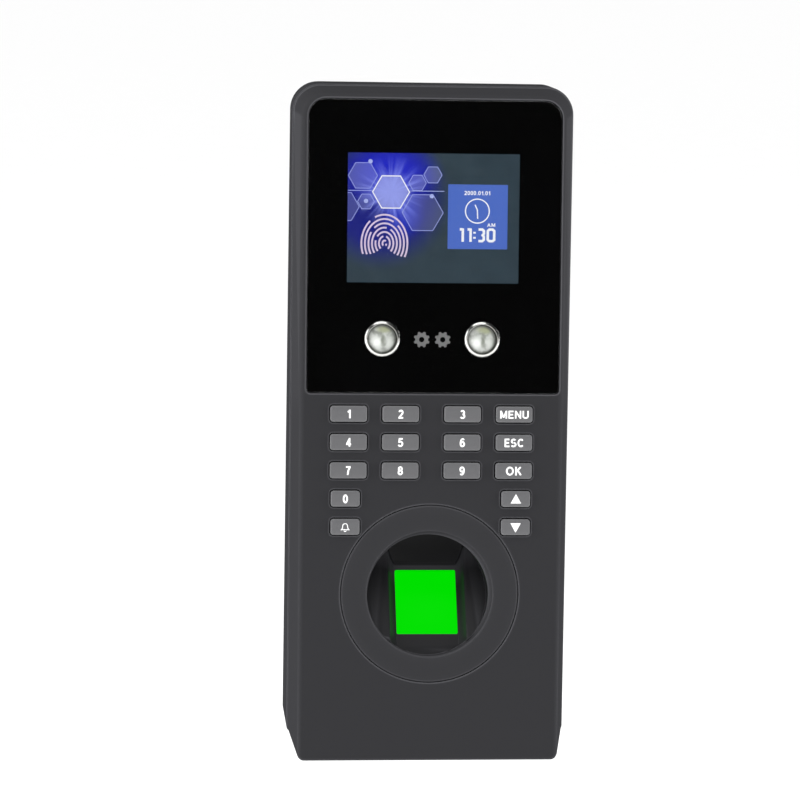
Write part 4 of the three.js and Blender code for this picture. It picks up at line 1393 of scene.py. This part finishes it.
class Picture:
    """Places on the lit picture, in millimetres right of and below its upper left corner."""

    def __init__(self, sizes):
        low, high = reach("lcd_glass", FACE)
        self.middle = (low + high) / 2
        self.half = Vector((sizes.lit_width / 2, sizes.lit_height / 2, 0))
        self.level = high.z - 0.06 * MM

    def at(self, x, y, layer=2):
        """The face's frame, moved to a place and up to a layer."""
        corner = self.middle + Vector((-self.half.x, self.half.y, 0))
        return shifted(corner.x + x * MM, corner.y - y * MM, self.level + layer * LAYER)

    def background(self):
        """The lit background, mapped from corner to corner."""
        low = self.middle - self.half
        shape = outline(low, self.middle + self.half, 0.05 * MM, 0.05 * MM, steps=2)
        mesh = prism(shape, self.level - 0.02 * MM, self.level, FACE)
        layer = mesh.uv_layers.new(name="picture")
        back = FACE.inverted()
        for loop in mesh.loops:
            across = back @ mesh.vertices[loop.vertex_index].co - low
            layer.data[loop.index].uv = (across.x / (2 * self.half.x), across.y / (2 * self.half.y))
        return mesh

    def hexagons(self):
        """The outlines of the small hexagons; the last one is cut off by the picture's edge."""
        lines = [
            stroke(hexagon(radius * MM), HEXAGON_LINE, INK, self.at(x, y))
            for x, y, radius, _ in HEXAGONS[1:-1]
        ]
        cut_off = millimetres((0.06, -11.35), (1.1, -11.4), (3.35, -15.3), (1.1, -19.2), (0.06, -19.25))
        lines.append(stroke(cut_off, HEXAGON_LINE, INK, self.at(0, 0), closed=False))
        return joined(*lines)

    def touch_lines(self):
        """A level line on both sides of the main hexagon, and three dots."""
        x, y, radius, _ = HEXAGONS[0]
        lines = []
        for start, end in ((0.1, x - radius - 0.1), (x + radius + 0.1, 27.5)):
            level = millimetres((start, 0), (end, 0))
            lines.append(stroke(level, FINE_LINE, INK, self.at(0, y - 0.35), closed=False))
        for x, y in ((6.4, 2.45), (5.25, 13.65), (23.95, 12.1)):
            lines.append(prism(circle((0, 0), 0.62 * MM, 20), 0, INK, self.at(x, y)))
        return joined(*lines)

    def fingerprint(self):
        """Seven arched ridges, each with a gap at another place."""
        ridges = []
        for i in range(7):
            wide = (0.55 + 1.0 * i) * MM
            tall = (0.8 + 1.22 * i) * MM
            gap = 20 + (i * 67) % 150
            half_gap = 22 / (i + 1) + 4
            for start, end in ((-52 + 4 * i, gap - half_gap), (gap + half_gap, 232 - 5 * i)):
                lead = [Vector(point) for point in bow(0, 0, wide, tall, start, end)]
                ridges.append(stroke(lead, RIDGE_LINE, INK, self.at(10.6, 25.6), closed=False))
        return joined(*ridges)

    def clock(self):
        """A dial with its hands, the hour in figures and the date of an unset clock."""
        hands = millimetres((-0.7, 1.8), (0, 0.3), (0.1, -2.2))
        return joined(
            stroke(circle((0, 0), 3.4 * MM, 64), CLOCK_LINE, INK, self.at(37.0, 16.2)),
            stroke(hands, CLOCK_LINE, INK, self.at(37.0, 16.2), closed=False),
            lettering("11:30", 4.0 * MM, INK, self.at(36.85, 23.05), 10.8 * MM, 0.18, CLOCK_SIGNS),
            lettering("AM", 1.1 * MM, INK, self.at(41.0, 20.1), 2.3 * MM),
            lettering("2000.01.01", 1.2 * MM, INK, self.at(36.9, 11.1), 7.4 * MM),
        )


class TERMINAL_OT_display(bpy.types.Operator):
    """Builds the display: glass, lit picture, hexagons, fingerprint and clock card"""

    bl_idname = "terminal.display"
    bl_label = "Display"

    def execute(self, context):
        low, high = reach("lcd_glass", FACE)
        top = high.z - 0.08 * MM
        body = plate(lambda grow: outline(low, high, 0.4 * MM, 0.4 * MM, grow), low.z, top, 0.1 * MM, FACE)
        piece("display_module", body, FINISHES["module"], replaces=["lcd_glass"])
        picture = Picture(context.scene.terminal_display)
        x, y, radius, _ = HEXAGONS[0]
        main_hexagon = stroke(hexagon(radius * MM), MAIN_LINE, INK, picture.at(x, y))
        card = outline((28.6 * MM, -27.0 * MM), (45.65 * MM, -8.7 * MM), 0.15 * MM, 0.15 * MM)
        drawn = (
            ("screen_picture", picture.background(), "screen"),
            ("screen_hexagons", picture.hexagons(), "faint_light"),
            ("screen_main_hexagon", main_hexagon, "white_light"),
            ("screen_touch_lines", picture.touch_lines(), "pale_light"),
            ("screen_fingerprint", picture.fingerprint(), "print_light"),
            ("screen_clock_card", prism(card, 0, 0.02 * MM, picture.at(0, 0, 1)), "card"),
            ("screen_clock", picture.clock(), "white_light"),
        )
        for name, mesh, light in drawn:
            piece(name, mesh, FINISHES[light])
        return {"FINISHED"}


# The bezel's section, as radius and height in millimetres: flange, tube, and the rounded rim.
BEZEL = (
    (4.1, -3.6), (6.4, -3.6), (6.4, -2.7), (5.0, -2.7), (5.0, -0.25),
    (4.97, -0.16), (4.9, -0.08), (4.45, 0.25), (4.36, 0.28), (4.27, 0.25), (4.2, 0.12), (4.1, -0.3),
)
DOME_RADIUS = 4.08 * MM
DOME_FOOT = -3.2 * MM
DOME_START = -MM  # height at which the tube turns into the dome
DOME_RISE = 1.3 * MM


class TERMINAL_OT_lamps(bpy.types.Operator):
    """Builds the two lamps: a plated bezel and a domed lens each"""

    bl_idname = "terminal.lamps"
    bl_label = "Lamps"

    def execute(self, context):
        for side in SIDES:
            node_name = f"lamp_ring_{side}"
            at = middle_of(node_name, FACE)
            bezel = turned([(radius * MM, height * MM) for radius, height in BEZEL], at, FACE)
            piece(f"lamp_bezel_{side}", bezel, FINISHES["chrome"], replaces=[node_name])
            profile = [(DOME_RADIUS, DOME_FOOT), (DOME_RADIUS, DOME_START)]
            for angle in quarter(12)[1:-1]:
                profile.append((DOME_RADIUS * math.cos(angle), DOME_START + DOME_RISE * math.sin(angle)))
            dome = turned(profile, at, FACE, closed=False)
            piece(f"lamp_dome_{side}", dome, FINISHES["lens"], replaces=[f"lamp_lens_{side}"])
        return {"FINISHED"}


# ------------------------------------------------------------------ keypad
FLANGE_THICK = 0.85 * MM
CROWN_REACH = 1.6 * MM  # from a cap's rounded edge to the top of its crown
BELL_SCALE = 0.88 * MM
BELL_LINE = 0.22 * MM

# Width and height of each word in millimetres.
WORDS = {"menu": (8.2, 2.3), "esc": (5.5, 2.45), "ok": (4.5, 2.55)}


def key_cap(key, sizes):
    """A cap with rounded edges and a low crown, on its flange."""
    low, high = reach(key, FACE)
    shoulder = high.z - sizes.round
    flange_top = low.z + FLANGE_THICK
    wide = sizes.flange
    rings = [
        lift(key_outline(key, sizes, wide), low.z),
        lift(key_outline(key, sizes, wide), flange_top),
        lift(key_outline(key, sizes), flange_top + 0.01 * MM),
    ]
    for angle in quarter(5):
        points = key_outline(key, sizes, sizes.round * (math.cos(angle) - 1))
        rings.append(lift(points, shoulder + (sizes.round - sizes.crown) * math.sin(angle)))
    for share in (0.35, 0.75):
        grow = -sizes.round - share * CROWN_REACH
        rise = sizes.crown * (1 - (1 - share) ** 2)
        rings.append(lift(key_outline(key, sizes, grow), high.z - sizes.crown + rise))
    return skin(rings, FACE)


def bell(place, thick):
    """A bell's outline with its clapper."""
    side = [Vector((0.78, 0.35)), Vector((0.86, -0.35)), Vector((1.25, -0.85))]
    dome = arc((0, 0.35), 0.78, 0, 180, 12)
    body = list(reversed(side)) + dome[1:-1] + [Vector((-p.x, p.y)) for p in side]
    body = [p * BELL_SCALE for p in body]
    clapper = [p * BELL_SCALE for p in arc((0, -1.0), 0.42, 200, 340, 6)]
    return joined(
        stroke(body, BELL_LINE, thick, place),
        stroke(clapper, BELL_LINE, thick, place, closed=False),
    )


def triangle(place, thick, turn):
    """A solid arrow head."""
    points = [Vector((-1.5, -1.2 * turn)), Vector((1.5, -1.2 * turn)), Vector((0, 1.5 * turn))]
    if turn < 0:
        points.reverse()
    return prism([p * MM for p in points], 0, thick, place)


class TERMINAL_OT_keypad(bpy.types.Operator):
    """Builds the sixteen keys and their printed legends, each riding on its own key"""

    bl_idname = "terminal.keypad"
    bl_label = "Keypad"

    def execute(self, context):
        sizes = context.scene.terminal_keypad
        plastic = FINISHES["key"]
        for key in KEY_NAMES:
            cap = key_cap(key, sizes)
            piece(f"{key}_cap", cap, plastic, body=key, replaces=[key], weighted=True)
            middle = middle_of(key, FACE)
            high = reach(key, FACE)[1]
            place = shifted(middle.x, middle.y, high.z - 0.01 * MM)
            mesh = self.legend(key.removeprefix("key_"), place, sizes)
            piece(f"{key}_legend", mesh, FINISHES["legend"], body=key)
        return {"FINISHED"}

    @staticmethod
    def legend(sign, place, sizes):
        """A key's legend: a digit, a word or a sign."""
        thick = sizes.print_depth
        if sign == "bell":
            return bell(place, thick)
        if sign in ("up", "down"):
            return triangle(place, thick, 1 if sign == "up" else -1)
        if sign.isdigit():
            return lettering(sign, sizes.digit, thick, place)
        width, height = WORDS[sign]
        return lettering(sign.upper(), height * MM, thick, place, width * MM)


# ------------------------------------------------------------------ finger well
DRUM_RADIUS = 20.8 * MM  # outside of the well, and inside of the ring's foot
FLANGE_RADIUS = 24 * MM  # of the well's flange behind the shell's face
FLANGE = (-4.25 * MM, -2.75 * MM)
COLLAR = (-4 * MM, -0.9 * MM)  # that carries the bore up to the ring
RING_FOOT = -2 * MM
RING_EDGE = -MM  # foot of the ring's outer edge
RING_ROUND = 0.4 * MM
BORE_TOP = -1.6 * MM  # where the ring's inside meets the bore

TROUGH_FLOOR = -0.2 * MM  # below the sensor glass
TROUGH_REACH = 45 * MM
TROUGH_ARC = (-52, -20)  # degrees
TROUGH_FOOT = math.radians(38)
SHOULDER_END = 22 * MM
OPEN_TOP = 40 * MM
UNDERSIDE = ((-13 * MM, -22 * MM), (13 * MM, 12.6 * MM), (-30 * MM, -2.4 * MM))  # room behind the trough
GLASS_GAP = 0.12 * MM
GLASS_JOINT = 0.25 * MM  # wider gap at the glass's lower end


def trim_ring(sizes, centre, outer):
    """The trim ring: a fine rounded rim, a cone rising inwards, and a lip that turns into the mouth."""
    lip = sizes.lip
    mouth = sizes.mouth
    rim = outer - RING_ROUND
    outer_edge = [(rim + RING_ROUND * math.cos(a), RING_ROUND * (math.sin(a) - 1)) for a in quarter(4)]
    before = Vector((mouth + 0.75 * MM, lip * 0.95))
    crest = round_corner(before, Vector((mouth + 0.1 * MM, lip)), Vector((mouth, lip * 0.3)), 5)
    profile = [(DRUM_RADIUS, RING_FOOT), (DRUM_RADIUS, RING_EDGE), (outer, RING_EDGE), *outer_edge]
    profile += [tuple(p) for p in crest]
    rings = [lift(circle(centre, radius, 144), height) for radius, height in profile]
    bore = circle(centre.xy + Vector(sizes.lean), sizes.bore, 144)
    rings += [lift(bore, BORE_TOP), lift(bore, RING_FOOT)]
    return skin(rings, FACE, closed=True)


def trough_section(sizes, half_glass):
    """The well's section across the glass: a flat floor, curved sides, shoulders, and open above."""
    curve = sizes.curve
    flat = half_glass + sizes.flat
    middle = (flat - curve * math.sin(TROUGH_FOOT), TROUGH_FLOOR + curve * math.cos(TROUGH_FOOT))
    right = arc(middle, curve, *TROUGH_ARC, 8)
    edge = right[-1]
    top = edge.y + 0.5 * MM
    corner = Vector((edge.x + 0.2 * MM, top))
    right += round_corner(edge, corner, Vector((edge.x + 0.9 * MM, top + 0.1 * MM)), 4)[1:]
    right.append(Vector((SHOULDER_END, top + sizes.shoulder)))
    right.append(Vector((SHOULDER_END, TROUGH_FLOOR + OPEN_TOP)))
    return right + [Vector((-p.x, p.y)) for p in reversed(right)]


def well_body(sizes, centre):
    """The well: a drum, less the space that a finger needs and the room for the sensor."""
    low, high = reach("finger_well", FACE)
    glass_low, glass_high = reach("sensor_window", SENSOR)
    section = trough_section(sizes, glass_high.x)
    trough = skin([[Vector((p.x, y, p.y)) for p in section] for y in (TROUGH_REACH, -TROUGH_REACH)], SENSOR)
    bore_centre = centre.xy + Vector(sizes.lean)
    bore = prism(circle(bore_centre, sizes.bore, 128), -sizes.deep_end, 5 * MM, FACE)
    space = combine(bore, ("INTERSECT", trough))
    corner, far_corner, depths = UNDERSIDE
    under = prism(outline(corner, far_corner, MM, MM), *depths, SENSOR)
    joint = glass_low - Vector((0, GLASS_JOINT, 0))
    hole = prism(outline(joint, glass_high, 0.3 * MM, 0.3 * MM, GLASS_GAP), -6 * MM, 2 * MM, SENSOR)
    collar = circle(bore_centre, sizes.bore - 0.04 * MM, 128)
    return combine(
        prism(circle(centre, DRUM_RADIUS, 128), low.z, high.z, FACE),
        ("UNION", prism(circle(centre, FLANGE_RADIUS, 96), *FLANGE, FACE)),
        ("UNION", prism(collar, *COLLAR, FACE)),
        ("DIFFERENCE", space),
        ("DIFFERENCE", under),
        ("DIFFERENCE", hole),
    )


class TERMINAL_OT_finger_well(bpy.types.Operator):
    """Builds the trim ring, the well with its tilted trough, and the lit sensor glass"""

    bl_idname = "terminal.finger_well"
    bl_label = "Finger well"

    def execute(self, context):
        sizes = context.scene.terminal_well
        low, high = reach("finger_ring", FACE)
        centre = (low + high) / 2
        ring = trim_ring(sizes, centre, (high.x - low.x) / 2)
        piece("mouth_ring", ring, FINISHES["ring"], replaces=["finger_ring"])
        well = tidy(well_body(sizes, centre))
        satin = FINISHES["well"]
        piece("finger_trough", well, satin, replaces=["finger_well"], weighted=True)
        low, high = reach("sensor_window", SENSOR)

        def edge(grow):
            return outline(low, high, 0.3 * MM, 0.3 * MM, grow)

        glass = plate(edge, low.z, high.z, 0.12 * MM, SENSOR, both=False)
        green = FINISHES["sensor"]
        lit_glass = piece("sensor_prism", glass, green, replaces=["sensor_window"])
        lit_glass.visible_diffuse = False
        return {"FINISHED"}


# ------------------------------------------------------------------ rear fittings and inner pieces
def terminal_block(name, poles):
    """A wiring connector with a row of wire entries and clamp screws."""
    low, high = reach(name, WALL)
    border = 0.6 * MM
    pitch = (high.x - low.x - MM) / poles
    half = pitch * 0.36
    body = plate(lambda grow: outline(low, high, 0.3 * MM, 0.3 * MM, grow), low.z, high.z, 0.25 * MM, WALL)
    entries = []
    screws = []
    for i in range(poles):
        x = low.x + 0.5 * MM + pitch * (i + 0.5)
        foot = low.y + border
        shape = outline((x - half, foot), (x + half, foot + 2 * half), 0.2 * MM, 0.2 * MM)
        entries.append(prism(shape, low.z - MM, low.z + 2.5 * MM, WALL))
        middle = (x, high.y - border - half)
        head = [(half, low.z - 0.05 * MM), (half, low.z + MM)]
        screws.append(turned(head, middle, WALL, steps=20, closed=False))
    mesh = combine(body, ("DIFFERENCE", joined(*entries)))
    piece(f"{name}_block", tidy(mesh), FINISHES["nylon"], replaces=[name])
    piece(f"{name}_screws", joined(*screws), FINISHES["screw"])


# The CAD nodes that stay: finish, softening of the edges in millimetres, and names.
KEPT = (
    ("steel", 0.15, ("wall_plate",)),
    ("screw", 0.12, (*SCREW_NAMES, "security_screw")),
    ("steel", 0.1, ("usb_port", "lcd_frame")),
    ("steel", 0.25, ("clock_battery",)),
    ("board", 0.1, ("main_board", "usb_board", "camera_board", "keypad_board", "sensor_board")),
    ("module", 0.2, ("speaker", "tamper_switch", "sensor_body", "camera_left", "camera_right")),
    ("silicone", 0.15, ("keypad_mat", "tamper_plunger")),
    ("nylon", 0.2, ("lamp_emitter_left", "lamp_emitter_right")),
    ("film", 0.0, ("lcd_flex", "keypad_flex", "sensor_flex")),
)


class TERMINAL_OT_fittings(bpy.types.Operator):
    """Finishes the wall plate, the screws, the sockets and everything inside the shells"""

    bl_idname = "terminal.fittings"
    bl_label = "Fittings"

    def execute(self, context):
        terminal_block("wiring_connector", 7)
        terminal_block("power_connector", 3)
        for finish_name, edge, names in KEPT:
            for name in names:
                keep(name, FINISHES[finish_name], edge * MM)
        return {"FINISHED"}


# ------------------------------------------------------------------ stage
# Each softbox's place, width and height, power in watts, and whether it shows in reflections.
SOFTBOXES = {
    "left_softbox": ((-0.93, -0.25, 0.1), (0.5, 0.9), 3.3, True),
    "top_softbox": ((-0.1, -0.3, 1.0), (0.9, 0.5), 4.0, True),
    "left_fill": ((-0.98, -0.15, 0.05), (0.5, 0.9), 6.5, False),
    "right_fill": ((0.93, -0.2, 0.05), (0.4, 0.9), 7.5, False),
}
FLOOR_HALF = 60  # metres
WORLD_LEVEL = 1.15  # on surfaces and behind the terminal
WORLD_DIM = 0.02  # in reflections and through the window


def softbox(name, aim, place, size, power, reflected):
    """A soft rectangular light aimed at a point."""
    data = bpy.data.lights.new(name, "AREA")
    data.shape = "RECTANGLE"
    data.size, data.size_y = size
    data.energy = power
    light = link(name, data)
    light.location = place
    light.rotation_euler = (aim - Vector(place)).to_track_quat("-Z", "Y").to_euler()
    light.visible_glossy = reflected


def studio_world(scene):
    """Even light all round, dimmed where it would show in reflections or through the window."""
    world = bpy.data.worlds.new("studio")
    world.use_nodes = True
    tree = world.node_tree
    surface = tree.nodes["Background"]
    path = node(tree, "ShaderNodeLightPath")
    levels = node(tree, "ShaderNodeMapRange", To_Min=WORLD_DIM, To_Max=WORLD_LEVEL)
    bright = maths(tree, "MAXIMUM", (path, "Is Diffuse Ray"), (path, "Is Camera Ray"))
    wire(tree, *bright, levels, "Value")
    wire(tree, levels, "Result", surface, "Strength")
    surface.inputs["Color"].default_value = (1, 1, 1, 1)
    scene.world = world


class TERMINAL_OT_stage(bpy.types.Operator):
    """Sets up the floor, the soft lights, the surroundings and the camera"""

    bl_idname = "terminal.stage"
    bl_label = "Stage"

    def execute(self, context):
        scene = context.scene
        sizes = scene.terminal_stage
        scene.view_settings.view_transform = "Standard"
        square = outline((-FLOOR_HALF, -FLOOR_HALF), (FLOOR_HALF, FLOOR_HALF), 1, 1)
        floor = prism(square, -0.01, 0, Matrix.Translation((0, 0, CAD_BOX[0].z - sizes.drop)))
        floor.materials.append(floor_finish())
        link("floor", floor)
        studio_world(scene)
        aim = Vector(sizes.aim)
        for name, settings in SOFTBOXES.items():
            softbox(name, aim, *settings)
        data = bpy.data.cameras.new("camera")
        data.lens = sizes.lens
        data.sensor_width = 36
        data.clip_end = 200
        camera = link("camera", data)
        level = math.cos(sizes.elevation)
        back = Vector((
            math.sin(sizes.azimuth) * level, -math.cos(sizes.azimuth) * level, math.sin(sizes.elevation),
        ))
        camera.rotation_mode = "QUATERNION"
        camera.location = aim + back * sizes.distance
        camera.rotation_quaternion = (-back).to_track_quat("-Z", "Y") @ Quaternion((0, 0, 1), sizes.roll)
        scene.camera = camera
        return {"FINISHED"}


# ------------------------------------------------------------------ panel and registration
OPERATORS = (
    TERMINAL_OT_stage,
    TERMINAL_OT_rear_shell,
    TERMINAL_OT_front_shell,
    TERMINAL_OT_window,
    TERMINAL_OT_display,
    TERMINAL_OT_lamps,
    TERMINAL_OT_keypad,
    TERMINAL_OT_finger_well,
    TERMINAL_OT_fittings,
)
SIZES = {
    "terminal_shells": ShellSizes,
    "terminal_display": DisplaySizes,
    "terminal_keypad": KeypadSizes,
    "terminal_well": WellSizes,
    "terminal_stage": StageSizes,
}


class TERMINAL_PT_panel(bpy.types.Panel):
    """Lists the terminal's pieces and their sizes"""

    bl_idname = "TERMINAL_PT_panel"
    bl_label = "Fingerprint terminal"
    bl_space_type = "VIEW_3D"
    bl_region_type = "UI"
    bl_category = "Terminal"

    def draw(self, context):
        for operator in OPERATORS:
            self.layout.operator(operator.bl_idname)
        for attribute, sizes in SIZES.items():
            box = self.layout.box()
            box.label(text=sizes.__doc__)
            for name in sizes.__annotations__:
                box.prop(getattr(context.scene, attribute), name)


def register():
    for attribute, sizes in SIZES.items():
        bpy.utils.register_class(sizes)
        setattr(bpy.types.Scene, attribute, PointerProperty(type=sizes))
    for operator in OPERATORS:
        bpy.utils.register_class(operator)
    bpy.utils.register_class(TERMINAL_PT_panel)


def unregister():
    bpy.utils.unregister_class(TERMINAL_PT_panel)
    for operator in reversed(OPERATORS):
        bpy.utils.unregister_class(operator)
    for attribute, sizes in SIZES.items():
        delattr(bpy.types.Scene, attribute)
        bpy.utils.unregister_class(sizes)


def main():
    register()
    make_finishes(bpy.context.scene)
    for operator in OPERATORS:
        group_name, call = operator.bl_idname.split(".")
        getattr(getattr(bpy.ops, group_name), call)()


if __name__ == "__main__":
    main()
